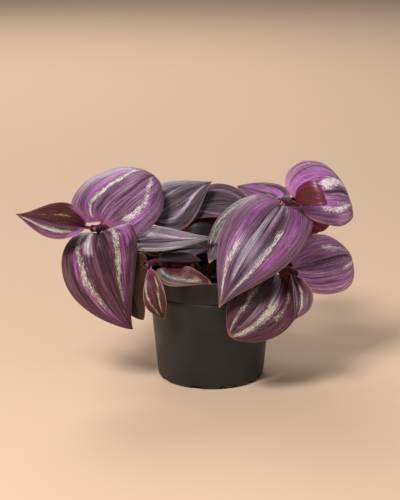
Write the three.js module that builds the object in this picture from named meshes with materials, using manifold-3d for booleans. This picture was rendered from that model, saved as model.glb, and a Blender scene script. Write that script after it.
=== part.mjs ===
// A potted tradescantia: a black plastic nursery pot, its soil, the arching stems and their large leaves.
// Millimetres, +Z up. The origin is the centre of the pot's foot, on the surface it stands on; -Y is the front.
import * as THREE from "three";
import { mergeVertices } from "three/addons/utils/BufferGeometryUtils.js";
import Module from "manifold-3d";

const wasm = await Module();
wasm.setup();

// ---------------------------------------------------------------- driving dimensions

const GAP = 0.3; // clearance between pieces that touch

const POT_HEIGHT = 79;
const RIM_RADIUS = 45; // outside, at the top of the rim band
const RIM_BAND_HEIGHT = 15;
const RIM_STEP = 0.8; // how far the band stands out from the wall under it
const WALL_AT_BAND = 43.3; // outside radius of the wall just under the rim band
const WALL_AT_FOOT = 37.7; // outside radius of the wall above the foot's bevel
const FOOT_RADIUS = 36.4;
const FOOT_BEVEL = 3;
const WALL = 1.3;
const FLOOR = 1.6; // thickness of the pot's floor
const PAD_RADIUS = 29; // the flat middle of the underside, level with the foot ring
const CHANNEL = 2.4; // how far the drain channel between the pad and the foot ring is raised
const POT_SIDES = 40;

const DRAIN_HEIGHT = 2.6;
// Drain notches round the foot: [angle from the front, width], in degrees. The back repeats the front.
const DRAINS = [
  [-61, 12],
  [-15, 12],
  [13, 5],
  [27, 4],
  [47, 8],
  [64, 10],
];

const SOIL_TOP = 67;
const SOIL_BUMP = 1.6;

const STEM_RADIUS = 1.9; // at the soil
const STEM_TIP_RADIUS = 1.4;
const STEM_SWELL = 0.3; // extra radius at each leaf's node
const STEM_SIDES = 8;
const ROOTED = 24; // length of stem below the soil's top

const SHEATH_LENGTH = 3.6;
const SHEATH_WALL = 0.8;
const BLADE = 0.7; // leaf thickness
const NECK = 1.9; // half width of the blade where it leaves its sheath
const TIP_HALF_WIDTH = 0.3;
const SMALL = 34; // a leaf up to this width is meshed more coarsely

// ---------------------------------------------------------------- the stems
// Each path starts at the soil's surface and ends at the tip.

const STEMS = {
  stem_left: [
    [-13, -6, SOIL_TOP],
    [-24, -9, 84],
    [-44, -13, 93],
    [-63, -16, 103],
    [-74, -22, 112],
    [-79, -34, 115],
  ],
  stem_right: [
    [14, -4, SOIL_TOP],
    [22, -6, 96],
    [34, -10, 118],
    [48, -17, 130],
    [54, -33, 134],
  ],
  stem_right_low: [
    [17, -10, SOIL_TOP],
    [26, -16, 82],
    [40, -22, 88],
    [56, -31, 83],
  ],
  stem_front_left: [
    [-18, -14, SOIL_TOP],
    [-26, -22, 82],
    [-36, -32, 91],
    [-43, -42, 92],
  ],
  stem_top: [
    [-6, 4, SOIL_TOP],
    [-16, 8, 90],
    [-32, 10, 105],
    [-45, 8, 110],
  ],
  stem_middle: [
    [-4, -14, SOIL_TOP],
    [-12, -19, 79],
    [-24, -23, 87],
    [-37, -22, 90],
  ],
  stem_back_left: [
    [-10, 14, SOIL_TOP],
    [-20, 26, 92],
    [-36, 42, 106],
    [-52, 56, 106],
  ],
  stem_back_right: [
    [10, 14, SOIL_TOP],
    [20, 26, 94],
    [34, 42, 112],
    [50, 54, 114],
  ],
  stem_back: [
    [0, 20, SOIL_TOP],
    [0, 36, 84],
    [-2, 54, 92],
    [-4, 70, 87],
  ],
  stem_side_left: [
    [-22, 4, SOIL_TOP],
    [-32, 8, 83],
    [-46, 12, 88],
    [-58, 14, 82],
  ],
  stem_side_right: [
    [22, 5, SOIL_TOP],
    [32, 10, 84],
    [44, 16, 90],
    [56, 22, 86],
  ],
};

// ---------------------------------------------------------------- the leaves
// at: how far along its stem the leaf grows, 0 to 1. rib: the points that its midrib passes through after the stem.
// width: flat width. uneven: how much wider the left half is than the right. full: how fast the width rises from the
// base, how fast it falls to the tip, and how long it stays full between; left: the same for the left half, where it
// differs. lobe: how far the base's lobes reach back; leftLobe: the left one, where it differs. neck: the share of the
// length before the blade opens.
// These lists run evenly from base to tip. face: where the upper side faces. fold: how far each half is raised at the
// midrib, in degrees. curl: how far each half then bends back towards its margin, in degrees.

const LEAVES = {
  left_young: {
    stem: "stem_left", at: 1, rib: [[-101.5, -46, 121.5], [-130, -54, 130]],
    face: [[0, -0.95, 0.3]], width: 27, uneven: 0.15, fold: [30, 15, 15], curl: [-120, -40, 10, 20],
    full: [0.6, 1.25, 2.1], left: [0.55, 1.55, 1.75], lobe: 0, neck: 0.15,
  },
  left_top: {
    stem: "stem_left", at: 0.88, rib: [[-64.5, -8, 128.5], [-45, 8, 139], [-38.5, 20.5, 134]],
    face: [[0.3, -0.42, 0.84], [0.4, -0.4, 0.8]], width: 60, fold: [20, 4, 4], curl: [40, 40],
    full: [0.35, 1.35, 2.25], lobe: 0.6, neck: 0.05,
  },
  left_front: {
    stem: "stem_left", at: 0.94, rib: [[-72.5, -43.5, 94.5], [-54, -36, 44]],
    face: [[-0.1, -0.95, 0.3]], width: 60, uneven: 0.1, fold: [40, 16, 12], curl: [60, 50], full: [0.3, 1.4, 1.85],
    left: [0.5, 0.8, 3.1], lobe: 0.6, neck: 0.1,
  },
  mid_top_left: {
    stem: "stem_top", at: 0.98, rib: [[-24.5, 20, 122.5], [1, 30, 133.5]],
    face: [[0.1, -0.6, 0.75]], width: 45, uneven: -0.05, fold: [30, 5, 5], curl: [40, 40], full: [0.3, 1.35, 2.15],
    lobe: 0.55, leftLobe: 0.8, neck: 0.1,
  },
  mid_top_right: {
    stem: "stem_top", at: 0.7, rib: [[2.5, 33, 118.5], [33.5, 30, 108.5]],
    face: [[0, -0.75, 0.65]], width: 28, uneven: -0.05, fold: [10, 10], curl: [30, 30], full: [0.7, 1.25, 2.9],
  },
  mid_front: {
    stem: "stem_left", at: 0.6, rib: [[-35, -25.5, 103], [3, -32, 108.5]],
    face: [[0.05, -0.3, 0.95]], width: 35, uneven: -0.1, fold: [24, 10], curl: [20, 20], full: [0.25, 1.3, 1.8],
    left: [0.35, 1.25, 1.95], lobe: 0.3, neck: 0.1,
  },
  mid_behind: {
    stem: "stem_top", at: 0.5, rib: [[-9, 4, 98], [13, 7, 98.5]],
    face: [[0, -0.9, 0.4]], width: 22, fold: [30, 10], curl: [20, 20], full: [0.4, 0.9, 2.6], neck: 0.2,
  },
  mid_under: {
    stem: "stem_middle", at: 0.98, rib: [[-20, -20, 96], [-2, -16, 96]],
    face: [[0, -0.4, 0.9]], width: 22, fold: [8, 8], curl: [20, 20], full: [0.3, 1.2, 2.1], lobe: 0.1, neck: 0.1,
  },
  mid_low: {
    stem: "stem_front_left", at: 0.81, rib: [[-24, -35.5, 89.5], [-7, -33, 92]],
    face: [[0, -0.35, 0.95]], width: 20, uneven: 0.15, fold: [60, 50], curl: [10, 10], full: [0.3, 0.8, 3.95],
    left: [0.3, 1.2, 2.2], lobe: 0.85,
  },
  rim_leaf: {
    stem: "stem_front_left", at: 0.66, rib: [[-23, -53.5, 85], [0, -53, 81.5]],
    face: [[0, -0.8, 0.6]], width: 19, uneven: -0.15, fold: [5, 5], curl: [20, 20], full: [0.55, 0.65, 2.75],
    left: [0.35, 2.2, 1.45], lobe: 0,
  },
  front_hanging: {
    stem: "stem_front_left", at: 1, rib: [[-37.5, -54.5, 73.5], [-32, -47.5, 55]],
    face: [[-0.2, -0.9, 0.2]], width: 16, uneven: 0.1, fold: [25, 15], curl: [20, 20], full: [0.55, 1.25, 1.9],
    left: [0.9, 1.15, 2.6],
  },
  front_under: {
    stem: "stem_front_left", at: 0.905, rib: [[-51.5, -32, 77], [-47, -30.5, 49]],
    face: [[0.2, 0.9, 0.2]], width: 23, uneven: -0.45, fold: [10, 10], curl: [20, 20], full: [0.3, 0.7, 3.1],
    lobe: 0.7,
  },
  right_front: {
    stem: "stem_right", at: 0.89, rib: [[28.5, -57, 108.5], [5, -62.5, 67.5]],
    face: [[-0.1, -0.85, 0.5]], width: 58, fold: [30, 14, 12], curl: [60, 50], full: [0.3, 1.4, 1.95],
    left: [0.35, 1.2, 2.35], lobe: 0.8, neck: 0.05,
  },
  right_top: {
    stem: "stem_right", at: 0.95, rib: [[70.5, -21, 138.5], [89.5, -6, 135.5], [98, 9, 117]],
    face: [[0.1, -0.7, 0.6], [0.5, -0.4, 0.5], [0.9, 0.05, 0.3]], width: 53, uneven: 0.05, fold: [20, 5, 5],
    curl: [35, 30, 20], full: [0.55, 1.2, 1.95], left: [0.25, 0.65, 2.55], lobe: 0.4, leftLobe: 0, neck: 0.05,
  },
  right_young: {
    stem: "stem_right", at: 1, rib: [[63.5, -50, 135.5], [76.5, -56.5, 137]],
    face: [[0.1, 0.8, 0.5]], width: 29, uneven: 0.1, fold: [36, 38], curl: [-20, -20], full: [0.45, 0.85, 2.9],
    left: [0.45, 0.9, 3.65], lobe: 0.2, neck: 0.15,
  },
  right_mid: {
    stem: "stem_right_low", at: 0.915, rib: [[71, -10, 82], [90.5, 10, 81.5], [102, 28, 77.5]],
    face: [[0.1, -0.85, 0.5]], width: 47, fold: [12, 12], curl: [40, 40], full: [0.4, 0.9, 2.55], lobe: 0.3,
    neck: 0.1,
  },
  right_small: {
    stem: "stem_right_low", at: 1, rib: [[58.5, -52, 71.5], [56, -56.5, 57]],
    face: [[0.3, -0.9, 0.2]], width: 20, uneven: -0.1, fold: [30, 20], curl: [-60, -20], full: [0.9, 1.55, 2.1],
    left: [0.5, 1.65, 1.55], lobe: 0,
  },
  right_low: {
    stem: "stem_right_low", at: 0.78, rib: [[34, -53.5, 70], [12, -60, 47]],
    face: [[0.1, -0.85, 0.5]], width: 50, uneven: -0.05, fold: [10, 8], curl: [45, 35], full: [0.3, 0.65, 1.8],
    left: [0.35, 0.7, 1.8], lobe: 0.05, neck: 0.1,
  },
  right_under: {
    stem: "stem_right", at: 0.7, rib: [[68, 3.5, 108.5], [79.5, 11.5, 101.5]],
    face: [[0.1, 0.7, 0.6]], width: 31, uneven: 0.05, fold: [10, 10], curl: [20, 20], full: [0.35, 1.25, 3.15],
    lobe: 0.5,
  },
  back_top: {
    stem: "stem_right", at: 0.77, rib: [[39, -2.5, 132], [18, 0.5, 136.5]],
    face: [[0, -0.7, 0.7]], width: 20, uneven: 0.05, fold: [10, 10], curl: [20, 20], full: [0.6, 1.05, 3.2],
    left: [0.25, 0.9, 1.45], lobe: 0.5,
  },
  right_behind: {
    stem: "stem_right", at: 0.83, rib: [[18.5, -19.5, 117.5], [-1.5, -33.5, 90.5]],
    face: [[-0.4, -0.6, 0.7]], width: 34, fold: [12, 12], curl: [40, 40], full: [0.5, 1.1, 2.4],
  },
  back_left_side: {
    stem: "stem_back_left", at: 0.68, rib: [[-60, 33, 100], [-86, 30, 84]],
    face: [[-0.3, 0.1, 0.95]], width: 42, fold: [30, 12], curl: [40, 40], lobe: 0.1, neck: 0.1,
  },
  back_left_long: {
    stem: "stem_back_left", at: 0.84, rib: [[-42, 78, 108], [-32, 100, 86]],
    face: [[0, 0.4, 0.9]], width: 46, fold: [30, 12], curl: [40, 40], lobe: 0.1, neck: 0.1,
  },
  back_left_down: {
    stem: "stem_back_left", at: 1, rib: [[-62, 74, 92], [-62, 82, 60]],
    face: [[-0.3, 0.85, 0.4]], width: 42, fold: [30, 12], curl: [40, 40], lobe: 0.1, neck: 0.1,
  },
  back_right_side: {
    stem: "stem_back_right", at: 0.68, rib: [[60, 33, 105], [80, 32, 88]],
    face: [[0.4, 0.1, 0.9]], width: 38, fold: [30, 12], curl: [40, 40], lobe: 0.1, neck: 0.1,
  },
  back_right_long: {
    stem: "stem_back_right", at: 0.84, rib: [[42, 78, 116], [32, 100, 96]],
    face: [[0, 0.4, 0.9]], width: 46, fold: [30, 12], curl: [40, 40], lobe: 0.1, neck: 0.1,
  },
  back_right_down: {
    stem: "stem_back_right", at: 1, rib: [[64, 68, 98], [68, 76, 68]],
    face: [[0.5, 0.8, 0.4]], width: 44, fold: [30, 12], curl: [40, 40], lobe: 0.1, neck: 0.1,
  },
  back_low_right: {
    stem: "stem_back", at: 0.62, rib: [[18, 60, 88], [40, 68, 70]],
    face: [[0.2, 0.5, 0.85]], width: 34, fold: [30, 12], curl: [40, 40], lobe: 0.1, neck: 0.15,
  },
  back_low_left: {
    stem: "stem_back", at: 0.8, rib: [[-26, 62, 89], [-48, 70, 70]],
    face: [[-0.2, 0.5, 0.85]], width: 34, fold: [30, 12], curl: [40, 40], lobe: 0.1, neck: 0.1,
  },
  back_centre: {
    stem: "stem_back", at: 0.35, rib: [[-1, 30, 98], [0, 43, 114]],
    face: [[0, 0.85, 0.5]], width: 33, fold: [25, 12], curl: [40, 40], lobe: 0.1, neck: 0.1,
  },
  centre_left: {
    stem: "stem_back_right", at: 0.3, rib: [[6, 17, 97], [-7, 15, 101]],
    face: [[0, 0.1, 0.95]], width: 19, fold: [25, 12], curl: [30, 30], lobe: 0.1, neck: 0.1,
  },
  centre_right: {
    stem: "stem_side_right", at: 0.35, rib: [[26, 9, 94], [12, 10, 101]],
    face: [[0.1, -0.2, 0.95]], width: 18, fold: [25, 12], curl: [30, 30], lobe: 0.1, neck: 0.1,
  },
  back_low_down: {
    stem: "stem_back", at: 1, rib: [[-6, 86, 66], [-12, 84, 36]],
    face: [[0, 0.95, 0.3]], width: 40, fold: [30, 12], curl: [40, 40], lobe: 0.1, neck: 0.1,
  },
  side_left_back: {
    stem: "stem_side_left", at: 0.68, rib: [[-60, 33, 81], [-74, 44, 62]],
    face: [[-0.6, 0.3, 0.7]], width: 34, fold: [30, 12], curl: [40, 40], lobe: 0.1, neck: 0.2,
  },
  left_shade: {
    stem: "stem_side_left", at: 0.5, rib: [[-43, 1, 92], [-55, -5, 90]],
    face: [[0, -0.9, 0.5]], width: 22, fold: [10, 10], curl: [20, 20], full: [0.4, 0.9, 2.6],
  },
  side_left_down: {
    stem: "stem_side_left", at: 1, rib: [[-68, 10, 66], [-68, 6, 44]],
    face: [[-0.9, -0.1, 0.4]], width: 32, fold: [30, 12], curl: [40, 40], lobe: 0.1, neck: 0.2,
  },
  side_right_back: {
    stem: "stem_side_right", at: 0.7, rib: [[54, 40, 86], [62, 58, 64]],
    face: [[0.4, 0.6, 0.7]], width: 34, fold: [30, 12], curl: [40, 40], lobe: 0.1, neck: 0.1,
  },
  side_right_down: {
    stem: "stem_side_right", at: 1, rib: [[59, 23, 74], [56, 25, 58]],
    face: [[0.3, 0.9, 0.3]], width: 31, fold: [30, 12], curl: [40, 40], full: [0.3, 0.9, 2.6], lobe: 0.3, neck: 0.05,
  },
};

// ---------------------------------------------------------------- solids and meshes

// A closed geometry as a solid, with its shared vertices merged.
function solidOf(geometry) {
  const bare = geometry.clone();
  for (const name of Object.keys(bare.attributes)) {
    if (name !== "position") bare.deleteAttribute(name);
  }
  const merged = mergeVertices(bare, 1e-4);
  return new wasm.Manifold(
    new wasm.Mesh({
      numProp: 3,
      vertProperties: merged.attributes.position.array,
      triVerts: new Uint32Array(merged.index.array),
    }),
  );
}

// A solid as a geometry, without the crumbs that a cut can leave.
function geometryOf(solid) {
  const largest = solid.decompose().reduce((a, b) => (b.volume() > a.volume() ? b : a));
  const { vertProperties, triVerts, numProp } = largest.getMesh();
  const count = vertProperties.length / numProp;
  const positions = new Float32Array(count * 3);
  for (let i = 0; i < count; i++) {
    positions.set(vertProperties.subarray(i * numProp, i * numProp + 3), i * 3);
  }
  const geometry = new THREE.BufferGeometry();
  geometry.setAttribute("position", new THREE.BufferAttribute(positions, 3));
  geometry.setIndex(new THREE.BufferAttribute(new Uint32Array(triVerts), 1));
  geometry.computeVertexNormals();
  return geometry;
}

// A closed geometry from rings of equally many points, the first and last ring capped to their centres.
function loft(rings) {
  const sides = rings[0].length;
  const points = rings.flat();
  const index = [];
  for (let r = 0; r + 1 < rings.length; r++) {
    for (let k = 0; k < sides; k++) {
      const a = r * sides + k;
      const b = r * sides + ((k + 1) % sides);
      index.push(a, b, a + sides, b, b + sides, a + sides);
    }
  }
  const cap = (ring, start, flip) => {
    const centre = ring.reduce((sum, p) => sum.clone().add(p), new THREE.Vector3());
    points.push(centre.divideScalar(sides));
    for (let k = 0; k < sides; k++) {
      const a = start + k;
      const b = start + ((k + 1) % sides);
      index.push(points.length - 1, flip ? b : a, flip ? a : b);
    }
  };
  cap(rings[0], 0, true);
  cap(rings.at(-1), (rings.length - 1) * sides, false);
  const geometry = new THREE.BufferGeometry().setFromPoints(points);
  geometry.setIndex(index);
  return geometry;
}

const lerp = (a, b, t) => a + (b - a) * t;
const radians = THREE.MathUtils.degToRad;

// ---------------------------------------------------------------- pot and soil

function potSolid() {
  const bandFoot = POT_HEIGHT - RIM_BAND_HEIGHT;
  const channelTop = CHANNEL + FLOOR;
  const profile = [
    [0, 0],
    [PAD_RADIUS, 0],
    [PAD_RADIUS + 0.8, CHANNEL],
    [FOOT_RADIUS - 2.4, CHANNEL],
    [FOOT_RADIUS - 1.8, 0],
    [FOOT_RADIUS, 0],
    [WALL_AT_FOOT, FOOT_BEVEL],
    [WALL_AT_BAND, bandFoot - 0.4],
    [WALL_AT_BAND + RIM_STEP, bandFoot],
    [RIM_RADIUS, POT_HEIGHT - 0.8],
    [RIM_RADIUS - 0.5, POT_HEIGHT],
    [RIM_RADIUS - WALL, POT_HEIGHT],
    [WALL_AT_BAND - WALL + 0.5, bandFoot],
    [WALL_AT_FOOT - WALL, channelTop + 2],
    [WALL_AT_FOOT - WALL - 2, channelTop],
    [PAD_RADIUS - 0.7, channelTop],
    [PAD_RADIUS - 1.5, FLOOR],
    [0, FLOOR],
  ].map(([radius, height]) => new THREE.Vector2(radius, height));
  const cup = new THREE.LatheGeometry(profile, POT_SIDES);
  cup.rotateX(Math.PI / 2);
  let pot = solidOf(cup);
  for (const [angle, width] of DRAINS) {
    for (const turn of [angle, angle + 180]) {
      const across = 2 * FOOT_RADIUS * Math.sin(radians(width / 2));
      const slot = new THREE.BoxGeometry(across, 8, DRAIN_HEIGHT * 2);
      slot.translate(0, -FOOT_RADIUS, 0);
      slot.rotateZ(radians(turn));
      pot = pot.subtract(solidOf(slot));
    }
  }
  return pot;
}

// Radius of the pot's inside at a height, less the gap that the soil keeps.
function soilRadius(height) {
  const bandFoot = POT_HEIGHT - RIM_BAND_HEIGHT;
  const foot = CHANNEL + FLOOR + 2;
  const t = (height - foot) / (bandFoot - foot);
  return lerp(WALL_AT_FOOT - WALL, WALL_AT_BAND - WALL + 0.5, t) - GAP;
}

function soilSolid() {
  const low = CHANNEL + FLOOR + GAP;
  const rings = [[PAD_RADIUS - 1.9, FLOOR + GAP]];
  rings.push([PAD_RADIUS - 1.2, low]);
  rings.push([soilRadius(low + 2) - 2.2, low]);
  rings.push([soilRadius(low + 2), low + 2]);
  rings.push([soilRadius(SOIL_TOP - 3), SOIL_TOP - 3]);
  for (const share of [0.98, 0.8, 0.6, 0.4, 0.2]) {
    rings.push([soilRadius(SOIL_TOP - 3) * share, SOIL_TOP]);
  }
  const sides = 28;
  const points = rings.map(([radius, height]) =>
    Array.from({ length: sides }, (_, k) => {
      const a = (k / sides) * 2 * Math.PI;
      const bump = height < SOIL_TOP ? 0 : Math.sin(radius * 1.7 + a * 5) * Math.cos(a * 9 - radius * 0.6);
      return new THREE.Vector3(radius * Math.cos(a), radius * Math.sin(a), height + bump * SOIL_BUMP * 0.5);
    }),
  );
  return solidOf(loft(points));
}

// ---------------------------------------------------------------- stems

const stemCurves = Object.fromEntries(
  Object.entries(STEMS).map(([name, path]) => [
    name,
    new THREE.CatmullRomCurve3(path.map((p) => new THREE.Vector3(...p)), false, "centripetal"),
  ]),
);

function stemRadius(stem, t) {
  const nodes = Object.values(LEAVES).filter((leaf) => leaf.stem === stem).map((leaf) => leaf.at);
  const swell = Math.max(0, ...nodes.map((at) => Math.exp(-(((t - at) / 0.04) ** 2))));
  return lerp(STEM_RADIUS, STEM_TIP_RADIUS, t) + STEM_SWELL * swell;
}

// A round tube along a stem, wider than the stem by extra, from below the soil to past its tip by over.
function stemTube(stem, extra, over) {
  const curve = stemCurves[stem];
  const steps = Math.round(curve.getLength() / 6);
  const root = curve.getPointAt(0);
  const stations = [new THREE.Vector3(root.x, root.y, root.z - ROOTED - extra)];
  const radii = [STEM_RADIUS + extra];
  for (let i = 0; i <= steps; i++) {
    stations.push(curve.getPointAt(i / steps));
    radii.push(stemRadius(stem, i / steps) + extra);
  }
  stations.push(stations.at(-1).clone().addScaledVector(curve.getTangentAt(1), 1.5 + over));
  radii.push(radii.at(-1) * 0.6 + over * 0.4);
  let normal = new THREE.Vector3(0, 1, 0);
  const rings = stations.map((centre, i) => {
    const ahead = stations[Math.min(i + 1, stations.length - 1)];
    const behind = stations[Math.max(i - 1, 0)];
    const tangent = ahead.clone().sub(behind).normalize();
    normal = normal.clone().addScaledVector(tangent, -normal.dot(tangent)).normalize();
    const side = tangent.clone().cross(normal);
    return Array.from({ length: STEM_SIDES }, (_, k) => {
      const a = (k / STEM_SIDES) * 2 * Math.PI;
      return centre
        .clone()
        .addScaledVector(normal, radii[i] * Math.cos(a))
        .addScaledVector(side, radii[i] * Math.sin(a));
    });
  });
  return solidOf(loft(rings));
}

// ---------------------------------------------------------------- leaves

// The smooth curve through a few points, evenly spaced in t.
function through(points, t) {
  const last = points.length - 1;
  const sum = new THREE.Vector3();
  points.forEach((p, i) => {
    let weight = 1;
    for (let j = 0; j <= last; j++) {
      if (j !== i) weight *= (t * last - j) / (i - j);
    }
    sum.addScaledVector(p, weight);
  });
  return sum;
}

// The value at t of a list that runs evenly from 0 to 1.
function ramp(list, t) {
  const place = Math.min(Math.max(t, 0), 1) * (list.length - 1);
  const from = Math.min(Math.floor(place), Math.max(list.length - 2, 0));
  return lerp(list[from], list[Math.min(from + 1, list.length - 1)], place - from);
}

// Half the blade's width at t, as a share of its widest.
function outline(t, full) {
  const [rise, fall, belly] = full;
  const widest = rise / (rise + fall * belly);
  const peak = widest ** (rise / belly) * (1 - widest) ** fall;
  return (t ** rise * (1 - t ** belly) ** fall) / peak;
}

// The point of a blade's middle surface: t from base to tip, s from margin to margin.
function bladePoint(leaf, t, s) {
  const rib = leaf.points;
  const step = 1e-3;
  const centre = through(rib, t);
  const tangent = through(rib, t + step).sub(through(rib, t - step)).normalize();
  const face = new THREE.Vector3(...[0, 1, 2].map((k) => ramp(leaf.face.map((f) => f[k]), t)));
  const up = face.addScaledVector(tangent, -face.dot(tangent)).normalize();
  const side = tangent.clone().cross(up);
  const flat = (leaf.width / 2) * (1 + leaf.uneven * Math.sign(s));
  const shape = s > 0 && leaf.left ? leaf.left : leaf.full;
  const full = outline(Math.max((t - leaf.neck) / (1 - leaf.neck), 0), shape);
  const half = lerp(NECK * (1 - t) ** 3, flat, full) + TIP_HALF_WIDTH * t;
  const reach = Math.abs(s);
  const fold = radians(ramp(leaf.fold, t));
  const bend = radians(ramp(leaf.curl, t)) * reach * 0.5;
  const chord = half * reach * (Math.abs(bend) < 1e-4 ? 1 : Math.sin(bend) / bend);
  const lobe = s > 0 ? (leaf.leftLobe ?? leaf.lobe) : leaf.lobe;
  const back = lobe * half * reach ** 2 * (1 - t) ** 3;
  return centre
    .addScaledVector(side, Math.sign(s) * chord * Math.cos(fold - bend))
    .addScaledVector(up, chord * Math.sin(fold - bend))
    .addScaledVector(tangent, -back);
}

// The blade as a closed geometry, its two faces split alike.
function bladeGeometry(leaf) {
  const stations = leaf.width > SMALL ? 9 : 7; // steps along the blade
  const halfSteps = leaf.width > SMALL ? 3 : 2; // steps from midrib to margin
  const columns = 2 * halfSteps + 1;
  const offset = (t, s, sign) => {
    const step = 2e-3;
    const along = bladePoint(leaf, Math.min(t + step, 1), s).sub(bladePoint(leaf, Math.max(t - step, 0), s));
    const across = bladePoint(leaf, t, Math.min(s + step, 1)).sub(bladePoint(leaf, t, Math.max(s - step, -1)));
    const normal = along.cross(across).normalize().negate();
    return bladePoint(leaf, t, s).addScaledVector(normal, -sign * BLADE * 0.5);
  };
  const points = [];
  for (const sign of [1, -1]) {
    for (let i = 0; i <= stations; i++) {
      const even = i / stations;
      const t = lerp(even, (1 - Math.cos(Math.PI * even)) / 2, 0.5);
      for (let j = 0; j < columns; j++) points.push(offset(t, j / halfSteps - 1, sign));
    }
  }
  const under = (stations + 1) * columns;
  const index = [];
  for (let i = 0; i < stations; i++) {
    for (let j = 0; j + 1 < columns; j++) {
      const a = i * columns + j;
      const [b, c, d] = [a + 1, a + columns, a + columns + 1];
      index.push(a, c, b, b, c, d);
      index.push(under + a, under + b, under + c, under + b, under + d, under + c);
    }
  }
  const rim = [];
  for (let j = 0; j < columns - 1; j++) rim.push(j);
  for (let i = 0; i < stations; i++) rim.push(i * columns + columns - 1);
  for (let j = columns - 1; j > 0; j--) rim.push(stations * columns + j);
  for (let i = stations; i > 0; i--) rim.push(i * columns);
  rim.forEach((a, k) => {
    const b = rim[(k + 1) % rim.length];
    index.push(a, b, under + a, b, under + b, under + a);
  });
  const geometry = new THREE.BufferGeometry().setFromPoints(points);
  geometry.setIndex(index);
  return geometry;
}

// A short tube round a stem at a leaf's base.
function collar(leaf, radius, length) {
  const curve = stemCurves[leaf.stem];
  const centre = curve.getPointAt(leaf.at);
  const tube = new THREE.CylinderGeometry(radius, radius, length, STEM_SIDES);
  const turn = new THREE.Quaternion().setFromUnitVectors(new THREE.Vector3(0, 1, 0), curve.getTangentAt(leaf.at));
  tube.applyQuaternion(turn);
  tube.translate(centre.x, centre.y, centre.z);
  return solidOf(tube);
}

// A leaf: its blade and the sheath that wraps the stem, with the stem's own room cut from both.
function leafSolid(spec) {
  const curve = stemCurves[spec.stem];
  const along = curve.getTangentAt(spec.at);
  const centre = curve.getPointAt(spec.at);
  const outward = new THREE.Vector3(...spec.rib[0]).sub(centre);
  outward.addScaledVector(along, -outward.dot(along)).normalize();
  const stem = stemRadius(spec.stem, spec.at);
  const bore = (stem + GAP) / Math.cos(Math.PI / STEM_SIDES);
  const base = centre.addScaledVector(outward, stem + GAP + SHEATH_WALL * 0.6);
  const leaf = {
    full: [0.42, 1.3, 2.1],
    neck: 0.06,
    lobe: 0.35,
    uneven: 0,
    ...spec,
    points: [base, ...spec.rib.map((p) => new THREE.Vector3(...p))],
  };
  return solidOf(bladeGeometry(leaf))
    .add(collar(leaf, bore + SHEATH_WALL, SHEATH_LENGTH))
    .subtract(collar(leaf, bore, SHEATH_LENGTH + 1));
}

// ---------------------------------------------------------------- the plant

const material = (color, roughness) => new THREE.MeshStandardMaterial({ color, roughness, metalness: 0 });
const finishes = {
  pot: material(0x2b2725, 0.55),
  soil: material(0x2a1c14, 0.95),
  stem: material(0x6d4a4f, 0.45),
  leaf: material(0x6d4a70, 0.4),
};

const plant = new THREE.Group();

function addPiece(name, solid, finish) {
  const mesh = new THREE.Mesh(geometryOf(solid), finish);
  mesh.name = name;
  plant.add(mesh);
}

let soil = soilSolid();
for (const name of Object.keys(STEMS)) soil = soil.subtract(stemTube(name, GAP, 0));

addPiece("pot", potSolid(), finishes.pot);
addPiece("soil", soil, finishes.soil);
for (const name of Object.keys(STEMS)) addPiece(name, stemTube(name, 0, 0), finishes.stem);
for (const [name, spec] of Object.entries(LEAVES)) addPiece(`leaf_${name}`, leafSolid(spec), finishes.leaf);

export default plant;
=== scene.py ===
"""The looks of a potted tradescantia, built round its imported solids.

The tables are in millimetres, +Z up and -Y to the front, as the solids are; meshes are made in metres.
"""
import math

import bpy
import numpy as np
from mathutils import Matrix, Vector


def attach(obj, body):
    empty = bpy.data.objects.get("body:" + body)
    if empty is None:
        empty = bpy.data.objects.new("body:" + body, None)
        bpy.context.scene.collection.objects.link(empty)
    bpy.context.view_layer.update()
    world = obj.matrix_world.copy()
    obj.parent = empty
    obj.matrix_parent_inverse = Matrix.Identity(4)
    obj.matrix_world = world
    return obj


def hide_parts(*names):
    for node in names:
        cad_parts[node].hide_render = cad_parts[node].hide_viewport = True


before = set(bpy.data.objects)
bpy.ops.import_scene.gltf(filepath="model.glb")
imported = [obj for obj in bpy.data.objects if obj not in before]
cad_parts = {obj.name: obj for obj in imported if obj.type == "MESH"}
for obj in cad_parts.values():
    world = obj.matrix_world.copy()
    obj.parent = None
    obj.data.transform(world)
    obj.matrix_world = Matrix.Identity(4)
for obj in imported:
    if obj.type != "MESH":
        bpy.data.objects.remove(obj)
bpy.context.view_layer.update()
MM = 0.001

# ---------------------------------------------------------------- driving dimensions

GAP = 0.3
POT_HEIGHT = 79
RIM_RADIUS = 45
RIM_BAND_HEIGHT = 15
RIM_STEP = 0.8
RIM_GROOVE = 0.45  # depth of the groove under the rim band
WALL_AT_BAND = 43.3
WALL_AT_FOOT = 37.7
FOOT_RADIUS = 36.4
FOOT_BEVEL = 3
WALL = 1.3
FLOOR = 1.6
PAD_RADIUS = 29
CHANNEL = 2.4
DRAIN_HEIGHT = 2.6
# Drain notches round the foot: [angle from the front, width], in degrees. The back repeats the front.
DRAINS = [(-61, 12), (-15, 12), (13, 5), (27, 4), (47, 8), (64, 10)]

SOIL_TOP = 67
SOIL_BUMP = 1.6
CRUMBS, CRUMB_SEED = 620, 21
CRUMB_SIZE = (0.5, 1.5)
SHRED_SHARE, BARK_SHARE = 0.3, 0.25  # of the crumbs, and of those that are no shreds

STEM_RADIUS = 1.9
STEM_TIP_RADIUS = 1.4
STEM_SWELL = 0.3
ROOTED = 24
STEM_STEP = 1.2  # about how far apart the rings of a stem's mesh are
STEM_RIBS, RIB_HEIGHT = 9, 0.012  # faint ribs along a stem, their height as a share of its radius
NODE_REACH = 1.3  # how far the lighter colour at a leaf's base reaches along the stem

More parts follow.
